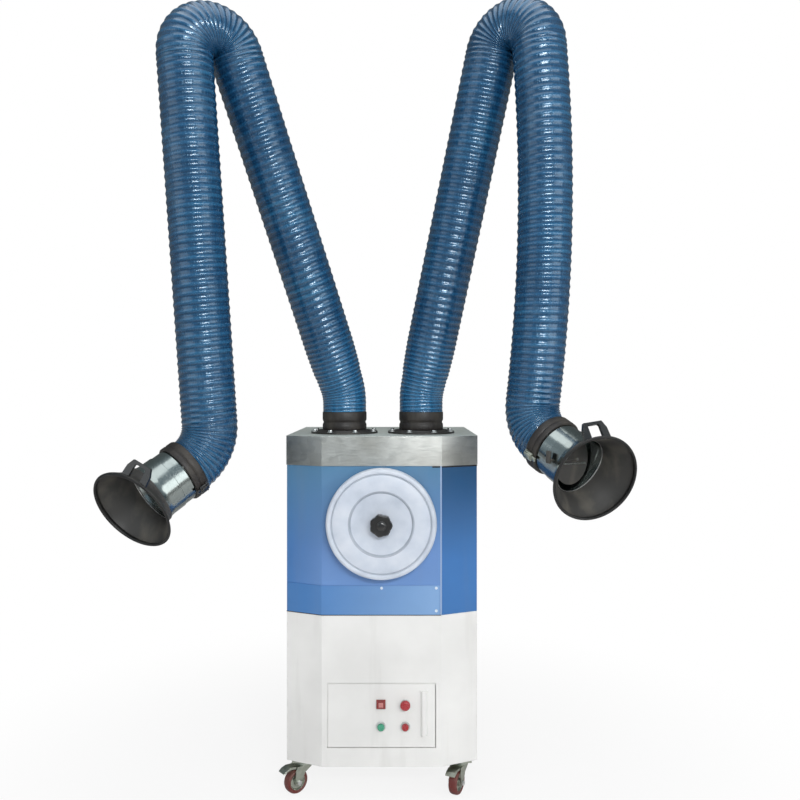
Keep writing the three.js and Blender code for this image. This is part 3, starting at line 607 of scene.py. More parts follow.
def add_block(shape, low, high, round_by=0.0, place=Matrix.Identity(4)):
    low, high = Vector(low), Vector(high)
    fit = Matrix.Translation((low + high) / 2) @ Matrix.Diagonal((*(high - low), 1))
    made = bmesh.ops.create_cube(shape, size=1, matrix=place @ fit)
    if round_by:
        soften(shape, made["verts"], round_by)


def add_rod(shape, radius, start, end, segments):
    start, end = Vector(start), Vector(end)
    turn = (end - start).to_track_quat("Z", "Y").to_matrix().to_4x4()
    bmesh.ops.create_cone(
        shape, cap_ends=True, segments=segments, radius1=radius, radius2=radius,
        depth=(end - start).length, matrix=Matrix.Translation((start + end) / 2) @ turn,
    )


def add_shape(shape, other):
    data = bpy.data.meshes.new("part_of_shape")
    other.to_mesh(data)
    other.free()
    shape.from_mesh(data)
    bpy.data.meshes.remove(data)


print("profiles are in steps of", MM, "m")

# %% [markdown]
# A shape becomes an object at the origin, with its place in its mesh. Its edges could be cut one by one,
# but a live bevel rounds every fold by one width and can be changed later. `keep` also seats the piece on a
# body and says which solids it stands for.

# %% Keep a piece
SHARP_ANGLE = math.radians(32)
FOLD_ANGLE = math.radians(15)


def keep(shape, name, finish, body=None, stands_for=(), edge=0.0, segments=2):
    data = bpy.data.meshes.new(name)
    shape.to_mesh(data)
    shape.free()
    data.shade_smooth()
    data.materials.append(finish)
    piece = bpy.data.objects.new(name, data)
    scene.collection.objects.link(piece)
    if edge:
        bevel = piece.modifiers.new("edge", "BEVEL")
        bevel.width = edge
        bevel.segments = segments
        bevel.limit_method = "ANGLE"
        bevel.angle_limit = FOLD_ANGLE
        piece.modifiers.new("even_shading", "WEIGHTED_NORMAL")
    else:
        data.set_sharp_from_angle(angle=SHARP_ANGLE)
    if body:
        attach(piece, body)
    if stands_for:
        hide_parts(*stands_for)
    print("piece", name, "faces", len(data.polygons))
    return piece


print("folds over", round(math.degrees(FOLD_ANGLE)), "degrees are rounded")

# %% [markdown]
# ## The folded sheets
# The solids of the cabinet have the right shape but knife edges, and real sheet is folded over a small
# radius. The panels could be modelled again, but a copy of a solid can't differ from it. The copy is
# merged, its flat triangles are joined back into panels, and a live bevel rounds every fold. It stands for
# the solid, so nothing is shown twice.

# %% Panels, brackets and plates
FLAT_ANGLE = math.radians(0.5)
COPY_MERGE = 1e-5
NODE_BODY = {node: body for body, nodes in frame["record"]["behaviour"]["bodies"].items() for node in nodes}


def folded_copy(node, name, finish, edge, segments=2):
    shape = bmesh.new()
    shape.from_mesh(frame["nodes"][node].data)
    bmesh.ops.remove_doubles(shape, verts=shape.verts, dist=COPY_MERGE)
    bmesh.ops.dissolve_limit(shape, angle_limit=FLAT_ANGLE, verts=shape.verts, edges=shape.edges)
    return keep(shape, name, finish, NODE_BODY[node], [node], edge, segments)


FOLDED = [
    ("base_pan", "folded_base", ZINC, 0.0008),
    ("lower_shell", "white_wrap", WHITE_COAT, 0.0012),
    ("rear_grille", "louvred_back", WHITE_COAT, 0.0007),
    ("upper_shell", "blue_wrap", BLUE_COAT, 0.0012),
    ("strip_panel", "blue_strip", STRIP_COAT, 0.0006),
    ("top_cap", "bare_cap", CAP_STEEL, 0.0013),
    ("control_door", "white_door", WHITE_COAT, 0.0008),
    ("power_lamp", "lamp_block", LAMP_LENS, 0.0008),
    ("cover_knob", "star_knob", KNOB_PLASTIC, 0.0016),
    ("cable_gland", "gland_nut", KNOB_PLASTIC, 0.0006),
    *[(f"brake_pedal_front_{hand}", f"{hand}_brake_tread", ZINC, 0.0008) for hand in HANDS],
    *[(f"caster_fork_{corner}", f"pressed_fork_{corner}", ZINC, 0.0008) for corner in CORNERS],
    *[(f"hood_handle_{hand}", f"bail_handle_{hand}", KNOB_PLASTIC, 0.0028, 3) for hand in HANDS],
]
for folded in FOLDED:
    folded_copy(*folded)
print("folded copies", len(FOLDED))

# %% [markdown]
# Two sheets change finish at a fold: the blue wrap has painted shade on its right-hand side, and the cap is
# duller on top. Each could be cut in two, but then the fold would open. So both finishes are on the one mesh,
# and each face takes the one that its direction asks for.

# %% Second finishes
SIDEWAYS = 0.3
UPWARDS = 0.9


def second_finish(name, finish, belongs):
    data = bpy.data.objects[name].data
    data.materials.append(finish)
    for panel in data.polygons:
        panel.material_index = int(belongs(panel))
    print(name, "also has", finish.name)


# The right-hand side of the blue wrap gets the deeper blue, which is painted shade.
second_finish(
    "blue_wrap", SHADED_BLUE_COAT, lambda panel: abs(panel.normal.x) > SIDEWAYS and panel.center.x > MIDDLE_X
)
second_finish("bare_cap", DULL_ZINC, lambda panel: panel.normal.z > UPWARDS)

# %% [markdown]
# The filter, the fan and the links of the arms are hidden in the cabinet and in the hoses. They could be
# modelled more finely, but their solids are close enough for a glance through an opening, so they keep
# their shape and only get a finish.

# %% Inner parts
INNER_FINISH = {
    "bulkhead": ZINC, "filter_cartridge": FILTER_PAPER, "draw_rod": BOLT_STEEL, "fan_scroll": ZINC,
    "impeller": FAN_ALLOY, "fan_motor": MOTOR_COAT,
    **{f"{link}_{hand}": FAN_ALLOY for link in ("lower_link", "upper_link", "wrist_yoke") for hand in HANDS},
}
for node, finish in INNER_FINISH.items():
    node_finishes = frame["nodes"][node].data.materials
    node_finishes.clear()
    node_finishes.append(finish)
print("inner parts", len(INNER_FINISH))

# %% [markdown]
# The front sheet ends in a narrow fold at its right-hand corner, with a painted highlight along the edge, and
# the chamfer beside it is set a little lower under the cap. A dark strip there is painted shadow under the
# cap, and a second one between the blue and the white sheet is painted shadow in the gap. Painted lines
# could stand for them, but only a real strip catches the light. A line in plan is extruded into a wall and
# given a thickness.

# %% Front fold and seals
HALF_FLAT = 0.195
HALF_WIDTH = 0.315
CHAMFER = 0.050
CAP_EDGE_Z = 1.090
STRIP_FOOT_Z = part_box("strip_panel")[0].z
FOLD_PROUD, FOLD_THICK, FOLD_EDGE = 0.0016, 0.0013, 0.0005
SHADE_STRIP_PROUD, SHADE_STRIP_THICK = 0.0012, 0.0009
SHADE_STRIP_FROM = 0.165
SHADE_STRIP_CORNER = HALF_FLAT + 0.0005
SHADE_STRIP_SIDE = (HALF_WIDTH + 0.0008, CHAMFER - 0.001)


def bent_strip(plan_line, thick, low, high):
    shape = bmesh.new()
    line = [shape.verts.new(on_cabinet(x, y, low)) for x, y in plan_line]
    for first, second in zip(line, line[1:]):
        shape.edges.new((first, second))
    drawn = bmesh.ops.extrude_edge_only(shape, edges=shape.edges[:])["geom"]
    raised = [item for item in drawn if isinstance(item, bmesh.types.BMVert)]
    bmesh.ops.translate(shape, verts=raised, vec=(0, 0, high - low))
    bmesh.ops.recalc_face_normals(shape, faces=shape.faces)
    if shape.faces[:][0].normal.y > 0:
        bmesh.ops.reverse_faces(shape, faces=shape.faces)
    bmesh.ops.solidify(shape, geom=shape.faces[:], thickness=thick)
    return shape


fold_line = [(HALF_FLAT - 0.004, -FOLD_PROUD), (HALF_FLAT + 0.001, -FOLD_PROUD)]
fold = bent_strip(fold_line, FOLD_THICK, STRIP_FOOT_Z, CAP_EDGE_Z)
# The fold's pale blue is a painted highlight along its edge.
keep(fold, "front_fold", LIT_FOLD_COAT, "cabinet", edge=FOLD_EDGE)
# Painted shadow: a dark strip under the cap along the right-hand chamfer.
cap_shade_line = [(SHADE_STRIP_FROM, -SHADE_STRIP_PROUD), (SHADE_STRIP_CORNER, -SHADE_STRIP_PROUD), SHADE_STRIP_SIDE]
cap_shade_mesh = bent_strip(cap_shade_line, SHADE_STRIP_THICK, CAP_EDGE_Z - 0.0045, CAP_EDGE_Z - 0.0004)
keep(cap_shade_mesh, "cap_shade_strip", RIM_RUBBER, "cabinet")
# Painted shadow: a dark strip in the gap between the blue and the white sheet.
foot_line = [(-SHADE_STRIP_SIDE[0], SHADE_STRIP_SIDE[1]), (-SHADE_STRIP_CORNER, -SHADE_STRIP_PROUD), (HALF_FLAT - 0.001, -SHADE_STRIP_PROUD)]
foot_shade_strip = bent_strip(foot_line, SHADE_STRIP_THICK, STRIP_FOOT_Z - 0.0026, STRIP_FOOT_Z - 0.0003)
keep(foot_shade_strip, "foot_shade_strip", RIM_RUBBER, "cabinet")

# %% [markdown]
# ## The round cover
# The cover of the filter is a spun steel dish: a rolled rim, a groove just inside it, a wide flat ring and
# a sunk centre. Discs and rings could be stacked, but the joints between them would show. Spinning one
# profile is how the real one is formed, and it leaves no joint.

# %% Filter cover
COVER_STEPS = 128
COVER_PROFILE = [
    (7, 40.5), (96, 40.5), (99.2, 41.2), (103, 46.2), (106, 47.2), (154.5, 47.2), (157.5, 46.2),
    (159.7, 44.6), (162.2, 46.6), (164.5, 49.6), (168.5, 50.6), (172.8, 50.2), (176.2, 47.8),
    (178, 43.8), (178, 9.5), (176.5, 8.7), (174.5, 9.5), (174.5, 41), (107.5, 43.7), (99.5, 37.7),
    (7, 37),
]
cover = moved(turned(COVER_PROFILE, COVER_STEPS), facing(TO_FRONT, 0, 0, COVER_Z))
keep(cover, "spun_cover", PALE_COAT, "filter_cover", ["filter_cover"])

# %% [markdown]
# The star knob has a low dome on its front. The lobes are in the solid, and a dome could be carved into its
# copy, but a small turned cap on top is simpler. A hair's gap keeps the two faces from lying in each other.

# %% Knob dome
SMALL_STEPS = 40
TOUCH_GAP = 0.0001
KNOB_LOW, KNOB_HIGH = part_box("cover_knob")
KNOB_DOME_PROFILE = [(0, 0), (15.5, 0), (15, 2.8), (12.5, 5.2), (7.5, 6.4), (0, 6.8)]
knob_face = (KNOB_LOW + KNOB_HIGH) / 2
knob_face.y = KNOB_LOW.y - TOUCH_GAP
dome = moved(turned(KNOB_DOME_PROFILE, SMALL_STEPS, False), Matrix.Translation(knob_face) @ TO_FRONT)
keep(dome, "knob_dome", KNOB_PLASTIC, NODE_BODY["cover_knob"])

# %% [markdown]
# ## Buttons
# The push buttons sit in round bezels, and the emergency stop is a mushroom on a collar. Bevelled cylinders
# would come close, but a profile gives each its own soft edge, which catches a thin highlight. The three
# differ only in place, shape and colour, so one table holds them.

# %% Buttons and bezels
BUTTON_X = (-0.002, 0.077)
BUTTON_Z = (0.243, 0.316)
BUTTON_PROFILE = [
    (0, -22), (8, -22), (8, -5), (11.2, -5), (11.2, 10.2), (10.8, 12.2), (9.6, 13.7), (7.5, 14.2),
    (0, 14.5),
]
MUSHROOM_PROFILE = [
    (0, -20), (10.8, -20), (10.8, 9.9), (15, 10.1), (16.3, 11.5), (16.5, 14.8), (15.4, 18.2),
    (12.5, 21), (8.5, 22.5), (0, 23),
]
BEZEL_PROFILE = [(11.8, 0.2), (15.9, 0.2), (15.9, 4.2), (14.8, 5.6), (12.8, 5.8), (11.8, 4.8)]
BUTTONS = {
    "start_button": ("green_cap", BUTTON_PROFILE, GREEN_PLASTIC, "green_plastic", 0, 0),
    "stop_button": ("red_cap", BUTTON_PROFILE, RED_PLASTIC, "red_plastic", 1, 0),
    "emergency_stop": ("mushroom_cap", MUSHROOM_PROFILE, RED_PLASTIC, "red_plastic", 1, 1),
}


def on_door(profile, closed, column, row):
    place = facing(TO_FRONT, BUTTON_X[column], 0, BUTTON_Z[row])
    return moved(turned(profile, SMALL_STEPS, closed), place)


for body, (name, profile, finish, slot, column, row) in BUTTONS.items():
    keep(on_door(profile, False, column, row), name, finish, body, [body])
for body, (*_, column, row) in BUTTONS.items():
    bezel = on_door(BEZEL_PROFILE, True, column, row)
    keep(bezel, f"{body.split('_')[0]}_bezel", BOLT_STEEL, "control_door")

# %% [markdown]
# The lamp has a small paler window. It could be a patch of colour on the lens, but then it would have no
# edge of its own, so it is a thin rounded block that stands a little proud.

# %% Lamp window
WINDOW_HALF, WINDOW_PROUD, WINDOW_EDGE = 0.0075, 0.0012, 0.0005
LAMP_LOW, LAMP_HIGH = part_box("power_lamp")
lamp_face = (LAMP_LOW + LAMP_HIGH) / 2
lamp_face.y = LAMP_LOW.y
lamp_window = bmesh.new()
add_block(
    lamp_window, lamp_face - Vector((WINDOW_HALF, WINDOW_PROUD, WINDOW_HALF)),
    lamp_face + Vector((WINDOW_HALF, -TOUCH_GAP, WINDOW_HALF)), WINDOW_EDGE,
)
keep(lamp_window, "lamp_window", PINK_PLASTIC, "control_door")

# %% [markdown]
# The door closes against a rebate, a folded rim behind the opening. It could be left out, but then one
# would look into the cabinet through the gap. It is close behind the sheet at the left and above, and
# deeper at the right and below, so the gap round the door is darker there.

# %% Door rebate
DOOR_HALF = 0.174
DOOR_LOW, DOOR_HIGH = 0.176, 0.381
RIM_IN, RIM_OUT = 0.0046, 0.012
NEAR, FAR = (0.0034, 0.0044), (0.0125, 0.0135)

rebate = bmesh.new()
for low_x, high_x, low_z, high_z, (near_y, far_y) in (
    (-DOOR_HALF - RIM_OUT, -DOOR_HALF + RIM_IN, DOOR_LOW, DOOR_HIGH + RIM_OUT, NEAR),
    (-DOOR_HALF + RIM_IN, DOOR_HALF + RIM_OUT, DOOR_HIGH - RIM_IN, DOOR_HIGH + RIM_OUT, NEAR),
    (DOOR_HALF - RIM_IN, DOOR_HALF + RIM_OUT, DOOR_LOW - RIM_OUT, DOOR_HIGH - RIM_IN, FAR),
    (-DOOR_HALF - RIM_OUT, DOOR_HALF - RIM_IN, DOOR_LOW - RIM_OUT, DOOR_LOW + RIM_IN, FAR),
):
    add_block(rebate, on_cabinet(low_x, near_y, low_z), on_cabinet(high_x, far_y, high_z))
keep(rebate, "door_rebate", WHITE_COAT, "cabinet")

# %% [markdown]
# ## Small fasteners
# Pale screws hold the strip below the cover and the louvred back. A dot of paint would vanish from the
# side, so each screw is a short cone whose top face is inset and sunk. Its sizes are shares of its radius,
# so one number makes it larger or smaller.

# %% Screws
SCREW_R = 0.0048
SCREW_TOP, SCREW_HEIGHT, SOCKET_INSET, SOCKET_DEPTH = 0.72, 0.6, 0.36, 0.25
STRIP_SCREWS = [(0.0, 0.694), (0.178, 0.694), (0.178, 0.620)]
BACK_SCREWS = [(x, z) for x in (-0.2, 0.0, 0.2) for z in (0.178, 0.542)] + [(-0.2, 0.36), (0.2, 0.36)]
STRIP_FACE_Y = -0.0023
BACK_FACE_Y = 0.6023


def add_screw(shape, place, radius):
    made = bmesh.ops.create_cone(
        shape, cap_ends=True, segments=16, radius1=radius, radius2=radius * SCREW_TOP,
        depth=radius * SCREW_HEIGHT, matrix=place @ Matrix.Translation((0, 0, radius * SCREW_HEIGHT / 2)),
    )
    up = (place.to_3x3() @ Vector((0, 0, 1))).normalized()
    faces = {face for vert in made["verts"] for face in vert.link_faces}
    top = max(faces, key=lambda face: face.calc_center_median().dot(up))
    bmesh.ops.inset_region(shape, faces=[top], thickness=radius * SOCKET_INSET, depth=0)
    bmesh.ops.translate(shape, verts=top.verts, vec=up * (-radius * SOCKET_DEPTH))


screws = bmesh.new()
for places, face_y, turn in ((STRIP_SCREWS, STRIP_FACE_Y, TO_FRONT), (BACK_SCREWS, BACK_FACE_Y, TO_REAR)):
    for x, z in places:
        add_screw(screws, facing(turn, x, face_y, z), SCREW_R)
keep(screws, "panel_screws", PALE_ZINC, "cabinet")

# %% [markdown]
# Hexagon bolts on washers hold the flanges. A cone with equal ends and six sides is a prism, so that
# operator makes the head without any drawing of faces, and a bevel softens it. The washer below is turned.

# %% Bolts
BOLT_R, BOLT_HEIGHT, BOLT_MIDDLE, BOLT_EDGE = 0.0075, 0.0055, 0.0046, 0.0006
WASHER_R, WASHER_BORE, WASHER_THICK, WASHER_EDGE = 10.5, 3, 1.8, 0.6
WASHER_PROFILE = [
    (WASHER_BORE, 0), (WASHER_R, 0), (WASHER_R, WASHER_THICK - WASHER_EDGE),
    (WASHER_R - WASHER_EDGE, WASHER_THICK), (WASHER_BORE, WASHER_THICK),
]
FLANGE_BOLTS = 8
FLANGE_BOLT_R = 0.109
FLANGE_TOP = 1.1943


def add_bolt(shape, place):
    add_shape(shape, moved(turned(WASHER_PROFILE, 24), place))
    made = bmesh.ops.create_cone(
        shape, cap_ends=True, segments=6, radius1=BOLT_R, radius2=BOLT_R, depth=BOLT_HEIGHT,
        matrix=place @ Matrix.Translation((0, 0, BOLT_MIDDLE)),
    )
    soften(shape, made["verts"], BOLT_EDGE)


for hand in HANDS:
    bolts = bmesh.new()
    centre = Vector(JOINT[f"arm_swivel_{hand}"]["pos_m"])
    for step in range(FLANGE_BOLTS):
        angle = 2 * math.pi * (step + 0.5) / FLANGE_BOLTS
        out = Vector((math.cos(angle), math.sin(angle), 0)) * FLANGE_BOLT_R
        add_bolt(bolts, Matrix.Translation(Vector((centre.x, centre.y, FLANGE_TOP)) + out))
    keep(bolts, f"flange_bolts_{hand}", BOLT_STEEL, "cabinet")

# %% [markdown]
# ## Casters
# A caster wheel has a dark red tread with rounded shoulders on a pale hub. A torus could stand for the
# tread, but it would be too round. Half a section is enough for each, because both sides are alike. The
# packed axle gives the place and the direction, and a nut closes each end of it.

# %% Wheels
TREAD_STEPS = 56
HALF_TREAD = [(27.5, 12.5), (30.5, 14.5), (34, 14.8), (37.5, 12.8), (39.4, 8.5), (40, 3)]
HALF_HUB = [(5.7, 16.5), (10.5, 16.5), (11.5, 15.5), (12.5, 9), (23.5, 8.5), (26.2, 12.5), (27.4, 12.5)]
NUT_R, NUT_FROM, NUT_TO, NUT_EDGE = 0.0085, 0.0216, 0.0268, 0.0006


def both_sides(half):
    return [(radius, -height) for radius, height in half] + half[::-1]


for corner in CORNERS:
    wheel = f"wheel_{corner}"
    axle = Vector(JOINT[f"caster_roll_{corner}"]["axis"])
    centre = Vector(JOINT[f"caster_roll_{corner}"]["pos_m"])
    place = Matrix.Translation(centre) @ axle.to_track_quat("Z", "Y").to_matrix().to_4x4()
    tread = moved(turned(both_sides(HALF_TREAD), TREAD_STEPS), place)
    keep(tread, f"tread_{corner}", TREAD, wheel, [f"caster_wheel_{corner}"])
    hub = moved(turned(both_sides(HALF_HUB), SMALL_STEPS), place)
    keep(hub, f"hub_{corner}", ZINC, wheel)
    nuts = bmesh.new()
    for end in (-1, 1):
        add_rod(nuts, NUT_R, centre + axle * NUT_FROM * end, centre + axle * NUT_TO * end, 6)
    keep(nuts, f"axle_nuts_{corner}", BOLT_STEEL, f"fork_{corner}", edge=NUT_EDGE)

# %% [markdown]
# ## The arms
# Each hose runs in one upright plane. Its middle line is a chain of straight runs and arcs: up from the
# flange, over the shoulder, up the base leg, round the elbow, down the hood leg and round the wrist. It
# could be traced from a picture, but the lengths and angles of the solids are known, so they are used
# again.

# %% Sizes of the arms
HOSE_FOOT_Z = 1.2623
SHOULDER_Z = 1.325
SHOULDER_R = 0.200
SHOULDER_PAST = 0.045
LOWER_LENGTH = 1.150
ELBOW_R = 0.089
UPPER_LENGTH = 1.088
WRIST_BEFORE = 0.122
WRIST_AFTER = 0.085
NOZZLE_LENGTH = 0.140
FLARE_LENGTH = 0.082
HOOD_TILT = math.radians(20)
ANGLES = {
    "left": {"lean": 21.3, "fold": 162.85, "sag": 0, "wrist": 62.3, "yaw": -0.4, "roll": 84.5},
    "right": {"lean": 14.6, "fold": 160.1, "sag": 12.5, "wrist": 70, "yaw": 13.5, "roll": 254.9},
}
print("leg lengths", LOWER_LENGTH, UPPER_LENGTH, "m")

# %% [markdown]
# A curve with a bevel could draw a plain hose, but no ribs, cuffs or hoods. So the route answers one
# question: which point lies this far along the middle line, and this far beside it? A shape that is made
# straight along z can then be laid on it, point by point. The joints give the plane and the flange.

# %% Route of a hose
TINY = 1e-9


class ArmRoute:
    def __init__(self, hand):
        turn = {name: math.radians(value) for name, value in ANGLES[hand].items()}
        tangent = SHOULDER_R * math.tan(turn["lean"] / 2)
        wrist_r = WRIST_AFTER / math.tan(turn["wrist"] / 2)
        runs = [
            (SHOULDER_Z - HOSE_FOOT_Z - tangent, 0),
            (SHOULDER_R * turn["lean"], turn["lean"]),
            (LOWER_LENGTH - tangent, 0),
            (ELBOW_R * turn["fold"], turn["fold"]),
            (UPPER_LENGTH, turn["sag"]),
            (WRIST_BEFORE - WRIST_AFTER, 0),
            (wrist_r * turn["wrist"], -turn["wrist"]),
            (NOZZLE_LENGTH, 0),
        ]
        self.runs = []
        distance, place = 0.0, (0.0, HOSE_FOOT_Z, 0.0)
        for length, bend in runs:
            self.runs.append((distance, length, bend, place))
            distance, place = distance + length, self.follow(length, bend, place, length)
        start = [run[0] for run in self.runs]
        self.shoulder_top = start[2] + SHOULDER_PAST
        self.elbow_start, self.elbow_end = start[3], start[4]
        self.seam, self.hose_end = start[5], start[7]
        across = Vector(JOINT[f"arm_shoulder_{hand}"]["axis"])
        flange = Vector(JOINT[f"arm_swivel_{hand}"]["pos_m"])
        outward = across.cross(Vector((0, 0, 1)))
        turned_plane = Matrix((outward, across, (0, 0, 1))).transposed().to_4x4()
        self.plane = Matrix.Translation((flange.x, flange.y, 0)) @ turned_plane
        seam = self.point(self.seam)
        heading = (seam - self.point(self.seam - 0.001)).normalized()
        spin = Matrix.Rotation(turn["yaw"], 4, heading)
        self.wrist_turn = Matrix.Translation(seam) @ spin @ Matrix.Translation(-seam)
        self.lean = Matrix.Rotation(turn["roll"], 3, "Z")

    @staticmethod
    def follow(length, bend, place, distance):
        x, z, heading = place
        turn = bend * distance / length
        chord = distance if abs(turn) < TINY else 2 * math.sin(turn / 2) * distance / turn
        middle = heading + turn / 2
        return (x + chord * math.sin(middle), z + chord * math.cos(middle), heading + turn)

    @staticmethod
    def beside(place, out, side):
        x, z, heading = place
        return Vector((x + out * math.cos(heading), side, z - out * math.sin(heading)))

    def point(self, distance, out=0.0, side=0.0):
        distance = max(distance, 0.0)
        start, length, bend, place = [run for run in self.runs if run[0] <= distance + TINY][-1]
        return self.plane @ self.beside(self.follow(length, bend, place, distance - start), out, side)

    def lay(self, verts, beyond_seam):
        for vert in verts:
            place = self.point(vert.co.z, vert.co.x, vert.co.y)
            vert.co = self.wrist_turn @ place if beyond_seam else place

    def lay_flare(self, shape):
        for vert in shape.verts:
            bent = self.follow(FLARE_LENGTH, HOOD_TILT, (0.0, 0.0, 0.0), vert.co.z)
            vert.co = self.lean @ self.beside(bent, vert.co.x, vert.co.y)
            vert.co.z += self.hose_end + NOZZLE_LENGTH
        self.lay(shape.verts, True)


ROUTE = {hand: ArmRoute(hand) for hand in HANDS}
for hand in HANDS:
    print(hand, "hose length", round(ROUTE[hand].hose_end, 3), "m")

# %% [markdown]
# ## Ribbed hose
# A wire coil stands proud under the cloth. The hose is pushed together at its foot, in the elbow and at the
# nozzle, so the turns lie closer there. An even spiral would be simpler, but it would look like a spring.
# So the turns are counted from the foot of the whole hose, with an eased change of pitch, and the spiral
# runs on from one length of hose to the next.

# %% Turns of the wire
WIRE_PITCH = 0.0260
FOOT_PITCH, FOOT_REACH = 0.0125, 0.46
END_PITCH, END_REACH = 0.0140, 0.42
ELBOW_PITCH, ELBOW_EASE = 0.0145, 0.06


def eased_sum(value):
    return max(0.0, value - 0.5) if value > 1 else max(0.0, value) ** 3 * (1 - value / 2)


def wire_turns(distance, route):
    def closer(pitch):
        return 1 / pitch - 1 / WIRE_PITCH

    def started(place, ease):
        return ease * eased_sum((distance - place) / ease)

    turns = distance / WIRE_PITCH
    turns += closer(FOOT_PITCH) * (distance - started(0, FOOT_REACH))
    turns += closer(END_PITCH) * started(route.hose_end - END_REACH, END_REACH)
    bend = started(route.elbow_start - ELBOW_EASE, ELBOW_EASE) - started(route.elbow_end, ELBOW_EASE)
    return turns + closer(ELBOW_PITCH) * bend


print("turns of wire", {hand: round(wire_turns(route.hose_end, route)) for hand, route in ROUTE.items()})

# %% [markdown]
# Between two turns of wire the cloth sags inwards. A full wave would make the crests as round as the
# valleys, so half a wave is used, which leaves a sharper crest where the wire is. The hose is narrower and
# smoother just above its cuff.

# %% Section of a rib
RIB_DEPTH = 0.0026
RIB_ROUNDNESS = 1.15
FLAT_FOOT, FLAT_SHARE = 0.11, 0.25
HOSE_R = 0.084
HOSE_FOOT_R = 0.0752
FOOT_RISE = 0.26


def eased(value):
    part = min(1.0, max(0.0, value))
    return part * part * (3 - 2 * part)


def hose_radius(distance, across):
    crest = HOSE_FOOT_R + (HOSE_R - HOSE_FOOT_R) * eased(distance / FOOT_RISE)
    depth = RIB_DEPTH * (FLAT_SHARE + (1 - FLAT_SHARE) * eased(distance / FLAT_FOOT))
    return crest - depth * math.sin(math.pi * (across % 1.0)) ** RIB_ROUNDNESS


print("crest and valley", [round(hose_radius(1.0, across), 4) for across in (0.0, 0.5)], "m")

# %% [markdown]
# A screw modifier could sweep a rib round the hose, but its pitch can't change on the way. So a plain tube
# is cut into many rings, and each point is drawn in by its place on the spiral. The cloth gets its
# thickness last, when all the normals agree.

# %% Hose mesh
HOSE_SIDES = 56
RING_STEP = 0.0022
FINE_STEP, FINE_BELOW = 0.0015, 0.32
CLOTH = 0.0016


def ribbed_hose(route, start, end):
    length = end - start
    step = FINE_STEP if length < FINE_BELOW else RING_STEP
    shape = bmesh.new()
    middle = Matrix.Translation((0, 0, length / 2))
    bmesh.ops.create_cone(shape, segments=HOSE_SIDES, radius1=1, radius2=1, depth=length, matrix=middle)
    uprights = [edge for edge in shape.edges if abs(edge.verts[0].co.z - edge.verts[1].co.z) > length / 2]
    bmesh.ops.subdivide_edges(shape, edges=uprights, cuts=round(length / step), use_grid_fill=True)
    turns = {vert: (math.atan2(vert.co.y, vert.co.x) / (2 * math.pi)) % 1.0 for vert in shape.verts}
    uv = shape.loops.layers.uv.new(HOSE_UV)
    for face in shape.faces:
        lowest = min(turns[vert] for vert in face.verts)
        for loop in face.loops:
            u = turns[loop.vert]
            wrapped = u if u - lowest < 0.5 else u - 1.0
            loop[uv].uv = (wrapped, wire_turns(start + loop.vert.co.z, route))
    for vert in shape.verts:
        distance = start + vert.co.z
        angle = 2 * math.pi * turns[vert]
        radius = hose_radius(distance, wire_turns(distance, route) - turns[vert])
        vert.co = (radius * math.cos(angle), radius * math.sin(angle), distance)
    bmesh.ops.recalc_face_normals(shape, faces=shape.faces)
    bmesh.ops.solidify(shape, geom=shape.faces[:], thickness=CLOTH)
    for vert in shape.verts:
        vert.co.z = min(end, max(start, vert.co.z))
    return shape


print("rings are", FINE_STEP, "to", RING_STEP, "m apart")

# %% [markdown]
# Each hose is made in five lengths. Two ride on the stiff links inside them. The other three cross a joint
# and ride on no body here. Each of them is made straight, with its place baked into its mesh, and is then
# laid along the route.

# %% Hose lengths
SEAM_GAP = 0.0003
ELBOW_PAST = 0.015
SHOULDER_BEND_FROM = 0.012
WRIST_BEND_FROM, WRIST_BEND_TO = 0.01, 0.005

for hand, route in ROUTE.items():
    base, lower, upper = f"arm_base_{hand}", f"lower_arm_{hand}", f"upper_arm_{hand}"
    wrist, hood = f"wrist_{hand}", f"hood_{hand}"
    elbow_low, elbow_high = route.elbow_start - ELBOW_PAST, route.elbow_end + ELBOW_PAST
    stiff = {
        "lower": (route.shoulder_top + SEAM_GAP, elbow_low, lower),
        "upper": (elbow_high + SEAM_GAP, route.seam, upper),
    }
    bending = {
        "shoulder": (0.0, route.shoulder_top, base, lower, SHOULDER_BEND_FROM, route.shoulder_top),
        "elbow": (elbow_low + SEAM_GAP, elbow_high, lower, upper, route.elbow_start, route.elbow_end),
        "wrist": (
            route.seam + SEAM_GAP, route.hose_end, wrist, hood,
            route.seam + WRIST_BEND_FROM, route.hose_end - WRIST_BEND_TO,
        ),
    }
    for section, (start, end, body) in stiff.items():
        shape = ribbed_hose(route, start, end)
        route.lay(shape.verts, False)
        keep(shape, f"{section}_hose_{hand}", HOSE_CLOTH, body, [f"hose_{section}_{hand}"])
    for section, (start, end, near, far, bend_from, bend_to) in bending.items():
        shape = ribbed_hose(route, start, end)
        solid = f"hose_{section}_{hand}"
        hose = keep(shape, f"{section}_hose_{hand}", HOSE_CLOTH, None, [solid])
        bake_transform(hose)
        route.lay(hose.data.vertices, section == "wrist")
        hose.data.update()

# %% [markdown]
# ## Flange and turning cuff
# The foot of each hose is clamped in a black rubber cuff that turns in a bolted ring. Both are round, so
# both are turned. The shoulder's fork stands inside the hose on a bar across the cuff: two cheeks with a
# pin through them. It could be left to the solid, but that is replaced by the cuff, so blocks and a rod
# make it again.

